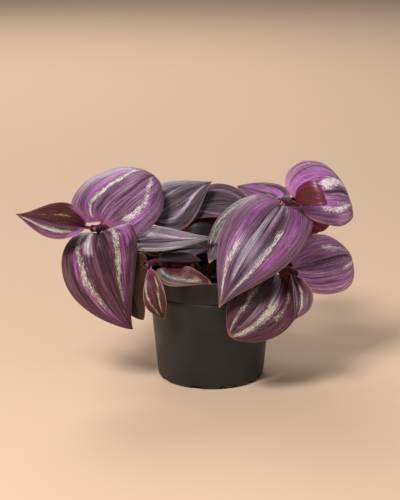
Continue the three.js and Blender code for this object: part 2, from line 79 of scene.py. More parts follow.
NECK = 1.9
TIP_HALF_WIDTH = 0.3
SHEATH_WALL = 0.8
SHEATH_BELOW, SHEATH_ABOVE = 1.9, 3.0  # its reach down and up the stem from the leaf's base
SHEATH_OUT, SHEATH_SWELL = 0.28, 0.42  # how far its outside stands off at its foot, and more above it
SHEATH_FLARE = 0.25  # its mouth's opening towards the blade
SHEATH_RIM, SHEATH_FILL = 0.1, 0.3  # its wall at its foot, and more above it

STEMS = {
    "stem_left": [
        [-13, -6, SOIL_TOP], [-24, -9, 84], [-44, -13, 93], [-63, -16, 103], [-74, -22, 112],
        [-79, -34, 115],
    ],
    "stem_right": [[14, -4, SOIL_TOP], [22, -6, 96], [34, -10, 118], [48, -17, 130], [54, -33, 134]],
    "stem_right_low": [[17, -10, SOIL_TOP], [26, -16, 82], [40, -22, 88], [56, -31, 83]],
    "stem_front_left": [[-18, -14, SOIL_TOP], [-26, -22, 82], [-36, -32, 91], [-43, -42, 92]],
    "stem_top": [[-6, 4, SOIL_TOP], [-16, 8, 90], [-32, 10, 105], [-45, 8, 110]],
    "stem_middle": [[-4, -14, SOIL_TOP], [-12, -19, 79], [-24, -23, 87], [-37, -22, 90]],
    "stem_back_left": [[-10, 14, SOIL_TOP], [-20, 26, 92], [-36, 42, 106], [-52, 56, 106]],
    "stem_back_right": [[10, 14, SOIL_TOP], [20, 26, 94], [34, 42, 112], [50, 54, 114]],
    "stem_back": [[0, 20, SOIL_TOP], [0, 36, 84], [-2, 54, 92], [-4, 70, 87]],
    "stem_side_left": [[-22, 4, SOIL_TOP], [-32, 8, 83], [-46, 12, 88], [-58, 14, 82]],
    "stem_side_right": [[22, 5, SOIL_TOP], [32, 10, 84], [44, 16, 90], [56, 22, 86]],
}

# What a leaf has unless its own entry says otherwise. A leaf's rib points lead from its stem to its tip.
# Face is the way its upper side looks, fold and curl are in degrees, and full shapes the outline, with
# left for the half with s > 0 where the two halves differ.
LEAF_DEFAULTS = dict(
    full=[0.42, 1.3, 2.1], neck=0.06, lobe=0.35, uneven=0, ripple=0.35, fold=[30, 12], curl=[40, 40],
)
FIRST_LEAF_SEED = 11

LEAVES = {
    "left_young": dict(
        stem="stem_left", at=1, rib=[[-101.5, -46, 121.5], [-130, -54, 130]], face=[[0, -0.95, 0.3]],
        width=27, uneven=0.15, fold=[30, 15, 15], curl=[-120, -40, 10, 20], full=[0.6, 1.25, 2.1],
        left=[0.55, 1.55, 1.75], lobe=0, neck=0.15,
    ),
    "left_top": dict(
        stem="stem_left", at=0.88, rib=[[-64.5, -8, 128.5], [-45, 8, 139], [-38.5, 20.5, 134]],
        face=[[0.3, -0.42, 0.84], [0.4, -0.4, 0.8]], width=60, fold=[20, 4, 4], full=[0.35, 1.35, 2.25],
        lobe=0.6, neck=0.05,
    ),
    "left_front": dict(
        stem="stem_left", at=0.94, rib=[[-72.5, -43.5, 94.5], [-54, -36, 44]],
        face=[[-0.1, -0.95, 0.3]], width=60, uneven=0.1, fold=[40, 16, 12], curl=[60, 50],
        full=[0.3, 1.4, 1.85], left=[0.5, 0.8, 3.1], lobe=0.6, neck=0.1,
    ),
    "mid_top_left": dict(
        stem="stem_top", at=0.98, rib=[[-24.5, 20, 122.5], [1, 30, 133.5]], face=[[0.1, -0.6, 0.75]],
        width=45, uneven=-0.05, fold=[30, 5, 5], full=[0.3, 1.35, 2.15], lobe=0.55, left_lobe=0.8,
        neck=0.1,
    ),
    "mid_top_right": dict(
        stem="stem_top", at=0.7, rib=[[2.5, 33, 118.5], [33.5, 30, 108.5]], face=[[0, -0.75, 0.65]],
        width=28, uneven=-0.05, fold=[10, 10], curl=[30, 30], full=[0.7, 1.25, 2.9],
    ),
    "mid_front": dict(
        stem="stem_left", at=0.6, rib=[[-35, -25.5, 103], [3, -32, 108.5]], face=[[0.05, -0.3, 0.95]],
        width=35, uneven=-0.1, fold=[24, 10], curl=[20, 20], full=[0.25, 1.3, 1.8],
        left=[0.35, 1.25, 1.95], lobe=0.3, neck=0.1,
    ),
    "mid_behind": dict(
        stem="stem_top", at=0.5, rib=[[-9, 4, 98], [13, 7, 98.5]], face=[[0, -0.9, 0.4]], width=22,
        fold=[30, 10], curl=[20, 20], full=[0.4, 0.9, 2.6], neck=0.2,
    ),
    "mid_under": dict(
        stem="stem_middle", at=0.98, rib=[[-20, -20, 96], [-2, -16, 96]], face=[[0, -0.4, 0.9]],
        width=22, fold=[8, 8], curl=[20, 20], full=[0.3, 1.2, 2.1], lobe=0.1, neck=0.1,
    ),
    "mid_low": dict(
        stem="stem_front_left", at=0.81, rib=[[-24, -35.5, 89.5], [-7, -33, 92]],
        face=[[0, -0.35, 0.95]], width=20, uneven=0.15, fold=[60, 50], curl=[10, 10],
        full=[0.3, 0.8, 3.95], left=[0.3, 1.2, 2.2], lobe=0.85,
    ),
    "rim_leaf": dict(
        stem="stem_front_left", at=0.66, rib=[[-23, -53.5, 85], [0, -53, 81.5]], face=[[0, -0.8, 0.6]],
        width=19, uneven=-0.15, fold=[5, 5], curl=[20, 20], full=[0.55, 0.65, 2.75],
        left=[0.35, 2.2, 1.45], lobe=0,
    ),
    "front_hanging": dict(
        stem="stem_front_left", at=1, rib=[[-37.5, -54.5, 73.5], [-32, -47.5, 55]],
        face=[[-0.2, -0.9, 0.2]], width=16, uneven=0.1, fold=[25, 15], curl=[20, 20],
        full=[0.55, 1.25, 1.9], left=[0.9, 1.15, 2.6],
    ),
    "front_under": dict(
        stem="stem_front_left", at=0.905, rib=[[-51.5, -32, 77], [-47, -30.5, 49]],
        face=[[0.2, 0.9, 0.2]], width=23, uneven=-0.45, fold=[10, 10], curl=[20, 20],
        full=[0.3, 0.7, 3.1], lobe=0.7,
    ),
    "right_front": dict(
        stem="stem_right", at=0.89, rib=[[28.5, -57, 108.5], [5, -62.5, 67.5]],
        face=[[-0.1, -0.85, 0.5]], width=58, fold=[30, 14, 12], curl=[60, 50], full=[0.3, 1.4, 1.95],
        left=[0.35, 1.2, 2.35], lobe=0.8, neck=0.05,
    ),
    "right_top": dict(
        stem="stem_right", at=0.95, rib=[[70.5, -21, 138.5], [89.5, -6, 135.5], [98, 9, 117]],
        face=[[0.1, -0.7, 0.6], [0.5, -0.4, 0.5], [0.9, 0.05, 0.3]], width=53, uneven=0.05,
        fold=[20, 5, 5], curl=[35, 30, 20], full=[0.55, 1.2, 1.95], left=[0.25, 0.65, 2.55], lobe=0.4,
        left_lobe=0, neck=0.05,
    ),
    "right_young": dict(
        stem="stem_right", at=1, rib=[[63.5, -50, 135.5], [76.5, -56.5, 137]], face=[[0.1, 0.8, 0.5]],
        width=29, uneven=0.1, fold=[36, 38], curl=[-20, -20], full=[0.45, 0.85, 2.9],
        left=[0.45, 0.9, 3.65], lobe=0.2, neck=0.15,
    ),
    "right_mid": dict(
        stem="stem_right_low", at=0.915, rib=[[71, -10, 82], [90.5, 10, 81.5], [102, 28, 77.5]],
        face=[[0.1, -0.85, 0.5]], width=47, fold=[12, 12], full=[0.4, 0.9, 2.55], lobe=0.3, neck=0.1,
    ),
    "right_small": dict(
        stem="stem_right_low", at=1, rib=[[58.5, -52, 71.5], [56, -56.5, 57]], face=[[0.3, -0.9, 0.2]],
        width=20, uneven=-0.1, fold=[30, 20], curl=[-60, -20], full=[0.9, 1.55, 2.1],
        left=[0.5, 1.65, 1.55], lobe=0,
    ),
    "right_low": dict(
        stem="stem_right_low", at=0.78, rib=[[34, -53.5, 70], [12, -60, 47]], face=[[0.1, -0.85, 0.5]],
        width=50, uneven=-0.05, fold=[10, 8], curl=[45, 35], full=[0.3, 0.65, 1.8],
        left=[0.35, 0.7, 1.8], lobe=0.05, neck=0.1,
    ),
    "right_under": dict(
        stem="stem_right", at=0.7, rib=[[68, 3.5, 108.5], [79.5, 11.5, 101.5]], face=[[0.1, 0.7, 0.6]],
        width=31, uneven=0.05, fold=[10, 10], curl=[20, 20], full=[0.35, 1.25, 3.15], lobe=0.5,
    ),
    "back_top": dict(
        stem="stem_right", at=0.77, rib=[[39, -2.5, 132], [18, 0.5, 136.5]], face=[[0, -0.7, 0.7]],
        width=20, uneven=0.05, fold=[10, 10], curl=[20, 20], full=[0.6, 1.05, 3.2],
        left=[0.25, 0.9, 1.45], lobe=0.5,
    ),
    "right_behind": dict(
        stem="stem_right", at=0.83, rib=[[18.5, -19.5, 117.5], [-1.5, -33.5, 90.5]],
        face=[[-0.4, -0.6, 0.7]], width=34, fold=[12, 12], full=[0.5, 1.1, 2.4],
    ),
    "back_left_side": dict(
        stem="stem_back_left", at=0.68, rib=[[-60, 33, 100], [-86, 30, 84]], face=[[-0.3, 0.1, 0.95]],
        width=42, lobe=0.1, neck=0.1,
    ),
    "back_left_long": dict(
        stem="stem_back_left", at=0.84, rib=[[-42, 78, 108], [-32, 100, 86]], face=[[0, 0.4, 0.9]],
        width=46, lobe=0.1, neck=0.1,
    ),
    "back_left_down": dict(
        stem="stem_back_left", at=1, rib=[[-62, 74, 92], [-62, 82, 60]], face=[[-0.3, 0.85, 0.4]],
        width=42, lobe=0.1, neck=0.1,
    ),
    "back_right_side": dict(
        stem="stem_back_right", at=0.68, rib=[[60, 33, 105], [80, 32, 88]], face=[[0.4, 0.1, 0.9]],
        width=38, lobe=0.1, neck=0.1,
    ),
    "back_right_long": dict(
        stem="stem_back_right", at=0.84, rib=[[42, 78, 116], [32, 100, 96]], face=[[0, 0.4, 0.9]],
        width=46, lobe=0.1, neck=0.1,
    ),
    "back_right_down": dict(
        stem="stem_back_right", at=1, rib=[[64, 68, 98], [68, 76, 68]], face=[[0.5, 0.8, 0.4]],
        width=44, lobe=0.1, neck=0.1,
    ),
    "back_low_right": dict(
        stem="stem_back", at=0.62, rib=[[18, 60, 88], [40, 68, 70]], face=[[0.2, 0.5, 0.85]], width=34,
        lobe=0.1, neck=0.15,
    ),
    "back_low_left": dict(
        stem="stem_back", at=0.8, rib=[[-26, 62, 89], [-48, 70, 70]], face=[[-0.2, 0.5, 0.85]],
        width=34, lobe=0.1, neck=0.1,
    ),
    "back_centre": dict(
        stem="stem_back", at=0.35, rib=[[-1, 30, 98], [0, 43, 114]], face=[[0, 0.85, 0.5]], width=33,
        fold=[25, 12], lobe=0.1, neck=0.1,
    ),
    "centre_left": dict(
        stem="stem_back_right", at=0.3, rib=[[6, 17, 97], [-7, 15, 101]], face=[[0, 0.1, 0.95]],
        width=19, fold=[25, 12], curl=[30, 30], lobe=0.1, neck=0.1,
    ),
    "centre_right": dict(
        stem="stem_side_right", at=0.35, rib=[[26, 9, 94], [12, 10, 101]], face=[[0.1, -0.2, 0.95]],
        width=18, fold=[25, 12], curl=[30, 30], lobe=0.1, neck=0.1,
    ),
    "back_low_down": dict(
        stem="stem_back", at=1, rib=[[-6, 86, 66], [-12, 84, 36]], face=[[0, 0.95, 0.3]], width=40,
        lobe=0.1, neck=0.1,
    ),
    "side_left_back": dict(
        stem="stem_side_left", at=0.68, rib=[[-60, 33, 81], [-74, 44, 62]], face=[[-0.6, 0.3, 0.7]],
        width=34, lobe=0.1, neck=0.2,
    ),
    "left_shade": dict(
        stem="stem_side_left", at=0.5, rib=[[-43, 1, 92], [-55, -5, 90]], face=[[0, -0.9, 0.5]],
        width=22, fold=[10, 10], curl=[20, 20], full=[0.4, 0.9, 2.6],
    ),
    "side_left_down": dict(
        stem="stem_side_left", at=1, rib=[[-68, 10, 66], [-68, 6, 44]], face=[[-0.9, -0.1, 0.4]],
        width=32, lobe=0.1, neck=0.2,
    ),
    "side_right_back": dict(
        stem="stem_side_right", at=0.7, rib=[[54, 40, 86], [62, 58, 64]], face=[[0.4, 0.6, 0.7]],
        width=34, lobe=0.1, neck=0.1,
    ),
    "side_right_down": dict(
        stem="stem_side_right", at=1, rib=[[59, 23, 74], [56, 25, 58]], face=[[0.3, 0.9, 0.3]],
        width=31, full=[0.3, 0.9, 2.6], lobe=0.3, neck=0.05,
    ),
}

# ---------------------------------------------------------------- curves


def through(points, t):
    """The smooth curve through a few points, evenly spaced in t."""
    last = len(points) - 1
    total = np.zeros(t.shape + (3,))
    for i, p in enumerate(points):
        weight = np.ones_like(t)
        for j in range(last + 1):
            if j != i:
                weight = weight * (t * last - j) / (i - j)
        total += weight[..., None] * np.array(p, float)
    return total


def ramp(values, t):
    """The value at t of a list that runs evenly from 0 to 1."""
    if len(values) == 1:
        return np.full_like(t, values[0])
    return np.interp(t, np.linspace(0, 1, len(values)), values)


def smooth(low, high, x):
    t = np.clip((x - low) / (high - low), 0, 1)
    return t * t * (3 - 2 * t)


def bell(x, centre, width):
    return np.exp(-(((x - centre) / width) ** 2))


def unit(v):
    return v / np.linalg.norm(v, axis=-1, keepdims=True)


def rolling_noise(seed, x, y, waves):
    """Smooth seeded noise about 0 from a few crossed sine waves."""
    draw = np.random.default_rng(seed)
    total = np.zeros(np.broadcast(x, y).shape)
    for _ in range(waves):
        a, b = draw.normal(size=2)
        total += np.sin(a * x + b * y + draw.uniform(0, 2 * np.pi))
    return total / math.sqrt(waves)


class Stem:
    """A centripetal curve through a stem's points, measured by its length."""

    def __init__(self, name):
        self.name = name
        self.points = np.array(STEMS[name], float)
        self.nodes = [leaf["at"] for leaf in LEAVES.values() if leaf["stem"] == name]
        self.ts = np.linspace(0, 1, 401)
        line = np.array([self.raw(t) for t in self.ts])
        steps = np.linalg.norm(np.diff(line, axis=0), axis=1)
        self.along = np.concatenate([[0], np.cumsum(steps)])
        self.length = self.along[-1]

    def raw(self, t):
        p = self.points
        last = len(p) - 1
        i = min(int(t * last), last - 1)
        w = t * last - i
        p1, p2 = p[i], p[i + 1]
        p0 = p[i - 1] if i > 0 else 2 * p[0] - p[1]
        p3 = p[i + 2] if i + 2 <= last else 2 * p[last] - p[last - 1]
        d0, d1, d2 = (np.linalg.norm(b - a) ** 0.5 for a, b in ((p0, p1), (p1, p2), (p2, p3)))
        m1 = ((p1 - p0) / d0 - (p2 - p0) / (d0 + d1) + (p2 - p1) / d1) * d1
        m2 = ((p2 - p1) / d1 - (p3 - p1) / (d1 + d2) + (p3 - p2) / d2) * d1
        return p1 + m1 * w + (-3 * p1 + 3 * p2 - 2 * m1 - m2) * w**2 + (2 * p1 - 2 * p2 + m1 + m2) * w**3

    def at(self, u):
        return self.raw(float(np.interp(u * self.length, self.along, self.ts)))

    def tangent(self, u):
        e = 2e-3
        return unit(self.at(min(u + e, 1)) - self.at(max(u - e, 0)))

    def radius(self, u):
        swell = max([math.exp(-(((u - node) / 0.04) ** 2)) for node in self.nodes] or [0])
        return STEM_RADIUS + (STEM_TIP_RADIUS - STEM_RADIUS) * u + STEM_SWELL * swell


# ---------------------------------------------------------------- leaf form


def outline(t, full):
    rise, fall, belly = full
    widest = rise / (rise + fall * belly)
    return t**rise * (1 - t**belly) ** fall / (widest ** (rise / belly) * (1 - widest) ** fall)


def blade_surface(leaf, t, s):
    """A blade's middle surface and half width, for grids of t, base to tip, and s, margin to margin."""
    rib = leaf["points"]
    step = 1e-3
    centre = through(rib, t)
    tangent = unit(through(rib, t + step) - through(rib, t - step))
    face = np.stack([ramp([f[k] for f in leaf["face"]], t) for k in range(3)], axis=-1)
    up = unit(face - (face * tangent).sum(-1, keepdims=True) * tangent)
    side = np.cross(tangent, up)
    sign, reach = np.sign(s), np.abs(s)
    flat = leaf["width"] / 2 * (1 + leaf["uneven"] * sign)
    past_neck = np.clip((t - leaf["neck"]) / (1 - leaf["neck"]), 0, 1)
    full = outline(past_neck, leaf["full"])
    if "left" in leaf:
        full = np.where(s > 0, outline(past_neck, leaf["left"]), full)
    neck = NECK * (1 - t) ** 3
    half = neck + (flat - neck) * full + TIP_HALF_WIDTH * t
    fold = np.radians(ramp(leaf["fold"], t))
    bend = np.radians(ramp(leaf["curl"], t)) * reach * 0.5
    chord = half * reach * np.sinc(bend / np.pi)
    ripple = leaf["ripple"] * rolling_noise(leaf["seed"], t * 9, sign * 3, 5) * reach**3 * full
    lobe = np.where(s > 0, leaf.get("left_lobe", leaf["lobe"]), leaf["lobe"])
    back = lobe * half * reach**2 * (1 - t) ** 3
    point = centre + side * (sign * chord * np.cos(fold - bend))[..., None]
    point += up * (chord * np.sin(fold - bend) + ripple)[..., None] - tangent * back[..., None]
    return point, half


def leaf_spec(name):
    """A leaf's table entry with its defaults, its base point on the stem, and its seed."""
    spec = LEAVES[name]
    stem = stems[spec["stem"]]
    centre, along = stem.at(spec["at"]), stem.tangent(spec["at"])
    outward = np.array(spec["rib"][0], float) - centre
    outward = unit(outward - (outward @ along) * along)
    base = centre + outward * (stem.radius(spec["at"]) + GAP + SHEATH_WALL * 0.6)
    leaf = dict(LEAF_DEFAULTS, seed=list(LEAVES).index(name) + FIRST_LEAF_SEED)
    leaf.update(spec)
    leaf["points"] = [base, *spec["rib"]]
    leaf["outward"] = outward
    return leaf


# ---------------------------------------------------------------- meshes


def grid_faces(rows, columns, start=0, closed=False):
    """Quads of a grid of points in rows; closed joins each row's last point to its first."""
    i = np.arange(rows - 1)[:, None]
    j = np.arange(columns if closed else columns - 1)[None, :]
    a = start + i * columns + j
    b = start + i * columns + (j + 1) % columns
    return np.stack([a, b, b + columns, a + columns], axis=-1).reshape(-1, 4)


def tube_faces(rows, columns):
    """Faces of a tube of rings whose ends close on two more points, first and last, after the rings."""
    faces = [list(f) for f in grid_faces(rows, columns, 0, True)]
    first, last = rows * columns, (rows - 1) * columns
    for k in range(columns):
        b = (k + 1) % columns
        faces.append([first, b, k])
        faces.append([first + 1, last + k, last + b])
    return faces


def make_object(name, points, faces, materials, index=None, uv=None, colours=None):
    """A mesh object from points in millimetres and lists of faces."""
    mesh = bpy.data.meshes.new(name)
    mesh.from_pydata((np.asarray(points) * MM).tolist(), [], [list(map(int, f)) for f in faces])
    for material in materials:
        mesh.materials.append(material)
    if index is not None:
        mesh.polygons.foreach_set("material_index", np.asarray(index, np.int32))
    mesh.polygons.foreach_set("use_smooth", np.ones(len(mesh.polygons), bool))
    if uv is not None:
        corner = np.zeros(len(mesh.loops), np.int32)
        mesh.loops.foreach_get("vertex_index", corner)
        layer = mesh.uv_layers.new(name="Blade")
        layer.data.foreach_set("uv", np.asarray(uv, np.float32)[corner].ravel())
    for key, values in (colours or {}).items():
        attribute = mesh.attributes.new(key, "FLOAT_COLOR", "POINT")
        attribute.data.foreach_set("color", np.asarray(values, np.float32).ravel())
    mesh.validate()
    mesh.update()
    piece = bpy.data.objects.new(name, mesh)
    bpy.context.scene.collection.objects.link(piece)
    return piece


def settle(piece, node):
    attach(piece, "root")
    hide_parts(node)
    return piece


# ---------------------------------------------------------------- materials


def srgb(r, g, b):
    """A colour given as 0 to 255 in sRGB, as linear RGBA."""
    linear = [c / 255 / 12.92 if c <= 10 else ((c / 255 + 0.055) / 1.055) ** 2.4 for c in (r, g, b)]
    return (*linear, 1.0)


class Shader:
    """A short way to write a node material."""

    def __init__(self, name, roughness, specular=0.5):
        self.material = bpy.data.materials.new(name)
        self.material.use_nodes = True
        self.tree = self.material.node_tree
        self.bsdf = next(n for n in self.tree.nodes if n.type == "BSDF_PRINCIPLED")
        self.bsdf.inputs["Roughness"].default_value = roughness
        self.bsdf.inputs["Specular IOR Level"].default_value = specular

    def put(self, socket, value):
        if isinstance(value, bpy.types.NodeSocket):
            self.tree.links.new(value, socket)
        elif value is not None:
            socket.default_value = value

    def node(self, kind, **settings):
        made = self.tree.nodes.new(kind)
        for key, value in settings.items():
            setattr(made, key, value)
        return made

    def math(self, operation, a, b=None, c=None):
        made = self.node("ShaderNodeMath", operation=operation)
        for socket, value in zip(made.inputs, (a, b, c)):
            self.put(socket, value)
        return made.outputs[0]

    def times(self, value, factor):
        return self.math("MULTIPLY", value, factor)

    def weigh(self, a, share_a, b, share_b):
        """The sum of two values, each times its share."""
        return self.math("ADD", self.times(a, share_a), self.times(b, share_b))

    def mix(self, factor, a, b, blend="MIX"):
        """A mix of two colours, each a socket or three numbers from 0 to 255 in sRGB."""
        a, b = (srgb(*value) if isinstance(value, tuple) else value for value in (a, b))
        made = self.node("ShaderNodeMix", data_type="RGBA", blend_type=blend, clamp_factor=True)
        self.put(made.inputs["Factor"], factor)
        self.put(made.inputs[6], a)
        self.put(made.inputs[7], b)
        return made.outputs[2]

    def span(self, value, low, high, out_low=0.0, out_high=1.0):
        """A smooth step: out_low where value is at low, out_high at high."""
        made = self.node("ShaderNodeMapRange", interpolation_type="SMOOTHSTEP")
        for socket, v in zip(made.inputs, (value, low, high, out_low, out_high)):
            self.put(socket, v)
        return made.outputs[0]

    def noise(self, vector, scale, detail=3.0, roughness=0.5):
        made = self.node("ShaderNodeTexNoise")
        self.put(made.inputs["Vector"], vector)
        for key, value in (("Scale", scale), ("Detail", detail), ("Roughness", roughness)):
            self.put(made.inputs[key], value)
        return made.outputs[0]

    def attribute(self, name):
        """The four channels of a colour attribute."""
        made = self.node("ShaderNodeAttribute", attribute_name=name)
        split = self.node("ShaderNodeSeparateColor")
        self.put(split.inputs[0], made.outputs["Color"])
        return [*split.outputs[:3], made.outputs["Alpha"]]

    def join(self, x, y, z):
        made = self.node("ShaderNodeCombineXYZ")
        for socket, value in zip(made.inputs, (x, y, z)):
            self.put(socket, value)
        return made.outputs[0]

    def split(self, vector):
        made = self.node("ShaderNodeSeparateXYZ")
        self.put(made.inputs[0], vector)
        return list(made.outputs)

    def object_position(self):
        return self.node("ShaderNodeTexCoord").outputs["Object"]

    def blade_uv(self):
        return self.node("ShaderNodeUVMap", uv_map="Blade").outputs[0]

    def bump(self, height, distance, strength=1.0, normal=None):
        made = self.node("ShaderNodeBump")
        self.put(made.inputs["Height"], height)
        self.put(made.inputs["Distance"], distance)
        self.put(made.inputs["Strength"], strength)
        self.put(made.inputs["Normal"], normal)
        return made.outputs[0]

    def finish(self, colour=None, roughness=None, normal=None):
        self.put(self.bsdf.inputs["Base Color"], colour)
        self.put(self.bsdf.inputs["Roughness"], roughness)
        self.put(self.bsdf.inputs["Normal"], normal)
        return self.material


SEED_SPREAD = 37.0  # how far the noise moves from one leaf to the next


def blade_place(sh):
    """Where a point of a blade lies, along it and across it, and a shift that differs from leaf to leaf."""
    u, v, _ = sh.split(sh.blade_uv())
    return u, v, sh.times(sh.attribute("Tones")[3], SEED_SPREAD)


def grown(sh, place, along, across, detail, rough):
    """Noise drawn out along the fibres: the more across and the less along, the longer its streaks."""
    u, v, shift = place
    return sh.noise(sh.join(sh.times(u, along), sh.times(v, across), shift), 1.0, detail, rough)


def painted_shading(sh, colour, light):
    """A colour times a leaf's painted light and shade; 0.5 leaves it as it is, less paints shade, more
    light.
    """
    shade = sh.times(light, 2.0)
    return sh.mix(1.0, colour, sh.join(shade, shade, shade), "MULTIPLY")


def leaf_top_material():
    sh = Shader("leaf_upper", 0.4, 0.2)
    place = blade_place(sh)
    silver, violet, dark, margin = sh.attribute("Bands")
    wine, pink, green, _ = sh.attribute("Tones")
    tip, edge, base, light = sh.attribute("EndsAndLight")
    lilac, vein, amber, gloss = sh.attribute("Marks")

    fibre = grown(sh, place, 4.0, 90.0, 3.0, 0.6)
    streak = grown(sh, place, 2.5, 30.0, 3.0, 0.5)
    grain = grown(sh, place, 30.0, 75.0, 2.0, 0.65)
    speck = grown(sh, place, 60.0, 120.0, 2.0, 0.6)
    blotch = grown(sh, place, 6.0, 9.0, 3.0, 0.6)
    threads = sh.span(sh.weigh(fibre, 0.6, streak, 0.4), 0.36, 0.64)

    def tone(low, high):
        return sh.mix(threads, low, high)

    def broken(mask, noise, amount, low, high):
        """A band whose edge is broken by noise."""
        rough = sh.math("MULTIPLY_ADD", noise, amount, -0.5 * amount)
        return sh.span(sh.math("ADD", mask, rough), low, high)

    colour = tone((50, 28, 42), (116, 82, 106))
    colour = sh.mix(pink, colour, tone((90, 52, 86), (166, 122, 158)))
    colour = sh.mix(green, colour, tone((46, 40, 44), (100, 90, 98)))
    colour = sh.mix(wine, colour, tone((46, 16, 20), (98, 50, 46)))

    margin_colour = tone((70, 42, 60), (128, 92, 118))
    margin_colour = sh.mix(pink, margin_colour, tone((112, 72, 100), (164, 124, 150)))
    margin_colour = sh.mix(wine, margin_colour, tone((50, 20, 24), (106, 60, 58)))
    colour = sh.mix(sh.times(margin, 0.8), colour, margin_colour)

    lilac_colour = sh.mix(sh.span(fibre, 0.35, 0.65), (110, 92, 108), (192, 176, 192))
    colour = sh.mix(broken(lilac, streak, 1.1, 0.25, 0.9), colour, lilac_colour)

    rough_edge = sh.weigh(grain, 0.55, fibre, 0.45)
    violet_edge = sh.weigh(streak, 0.6, fibre, 0.4)
    violet_colour = sh.mix(sh.span(fibre, 0.34, 0.66), (98, 46, 92), (170, 104, 164))
    colour = sh.mix(broken(violet, violet_edge, 1.3, 0.2, 0.95), colour, violet_colour)

    # dark stripes: the leaf's darker streaks, partly painted shade along the grooves that the same stripes
    # press into the blade
    dark_colour = sh.mix(threads, (30, 16, 22), (74, 48, 58))
    colour = sh.mix(sh.math("MULTIPLY", broken(dark, streak, 0.8, 0.2, 0.85), 0.92), colour, dark_colour)

    sparkle = sh.span(speck, 0.3, 0.7)
    silver_colour = sh.mix(sparkle, (130, 122, 120), (212, 212, 198))
    silver_colour = sh.mix(pink, silver_colour, sh.mix(sparkle, (172, 152, 164), (236, 228, 228)))
    silver_colour = sh.mix(wine, silver_colour, sh.mix(sparkle, (132, 112, 98), (204, 196, 176)))
    patchy = sh.math("MULTIPLY_ADD", blotch, 1.6, -0.85)
    silver_mask = broken(sh.math("ADD", silver, patchy), rough_edge, 3.2, 0.3, 1.1)
    colour = sh.mix(sh.times(silver_mask, 0.9), colour, silver_colour)

    colour = sh.mix(vein, colour, (52, 24, 34))
    colour = sh.mix(base, colour, (146, 58, 108))
    colour = sh.mix(edge, colour, (160, 116, 120))
    colour = sh.mix(broken(amber, streak, 0.8, 0.2, 0.7), colour, (140, 112, 66))
    colour = sh.mix(tip, colour, (190, 126, 74))
    mottle = sh.weigh(grain, 0.5, speck, 0.5)
    fleck = sh.span(mottle, 0.3, 0.7, 0.72, 1.24)
    colour = sh.mix(1.0, colour, sh.join(fleck, fleck, fleck), "MULTIPLY")
    # painted light and shade: the upper side darkened, or lightened, for the light that falls on the leaf
    colour = painted_shading(sh, colour, light)

    veins = grown(sh, place, 1.2, 46.0, 1.0, 0.4)
    normal = sh.bump(veins, 0.00025, 0.8)
    normal = sh.bump(grain, 0.00015, 0.7, normal)
    rough = sh.math("SUBTRACT", sh.span(grain, 0.2, 0.8, 0.36, 0.56), sh.times(gloss, 0.2))
    return sh.finish(colour, rough, normal)


def leaf_under_material():
    sh = Shader("leaf_underside", 0.38, 0.5)
    place = blade_place(sh)
    margin = sh.attribute("Bands")[3]
    green = sh.attribute("Tones")[2]
    tip, edge, base, light = sh.attribute("EndsAndLight")
    fibre = grown(sh, place, 4.0, 80.0, 4.0, 0.6)
    blotch = grown(sh, place, 4.0, 6.0, 3.0, 0.5)
    colour = sh.mix(sh.span(fibre, 0.3, 0.7), (84, 14, 30), (132, 34, 58))
    colour = sh.mix(sh.span(blotch, 0.45, 0.75), colour, (92, 44, 34))
    colour = sh.mix(sh.times(margin, 0.6), colour, (142, 40, 96))
    colour = sh.mix(base, colour, (172, 62, 128))
    olive = sh.mix(fibre, (44, 36, 20), (78, 62, 38))
    colour = sh.mix(sh.times(green, 0.85), colour, olive)
    colour = sh.mix(edge, colour, (150, 80, 92))
    colour = sh.mix(tip, colour, (176, 116, 70))
    # painted light and shade: the underside darkened, or lightened, for the light that falls on the leaf
    colour = painted_shading(sh, colour, light)
    veins = grown(sh, place, 1.0, 60.0, 1.0, 0.4)
    normal = sh.bump(veins, 0.0002, 0.7)
    rough = sh.span(fibre, 0.2, 0.8, 0.26, 0.42)
    return sh.finish(colour, rough, normal)


def stem_material():
    sh = Shader("stem_skin", 0.42, 0.5)
    u, v, _ = sh.split(sh.blade_uv())
    streak = grown(sh, (u, v, 3.0), 0.35, 26.0, 3.0, 0.6)
    patch = sh.noise(sh.object_position(), 90.0, 2.0)
    node, young, hidden, _ = sh.attribute("Stem")
    colour = sh.mix(sh.span(streak, 0.35, 0.65), (66, 26, 32), (104, 58, 54))
    colour = sh.mix(sh.span(patch, 0.45, 0.7), colour, (84, 70, 42))
    colour = sh.mix(young, colour, (112, 44, 68))
    colour = sh.mix(node, colour, (150, 92, 74))
    colour = sh.mix(hidden, colour, (60, 40, 30))
    normal = sh.bump(streak, 0.00015, 0.6)
    return sh.finish(colour, sh.span(patch, 0.3, 0.7, 0.34, 0.5), normal)


def pot_material():
    sh = Shader("pot_plastic", 0.42, 0.45)
    place = sh.object_position()
    fine = sh.noise(place, 2400.0, 2.0)
    cloud = sh.noise(place, 60.0, 3.0)
    flattened = [sh.times(part, scale) for part, scale in zip(sh.split(place), (25.0, 25.0, 900.0))]
    rings = sh.noise(sh.join(*flattened), 1.0, 2.0)
    dust = sh.span(sh.noise(place, 420.0, 5.0, 0.7), 0.62, 0.8)
    colour = sh.mix(sh.span(cloud, 0.3, 0.7), (20, 20, 23), (28, 27, 31))
    colour = sh.mix(sh.times(dust, 0.2), colour, (84, 78, 74))
    normal = sh.bump(fine, 0.00004, 0.5)
    normal = sh.bump(rings, 0.00005, 0.4, normal)
    return sh.finish(colour, sh.span(cloud, 0.3, 0.7, 0.38, 0.5), normal)


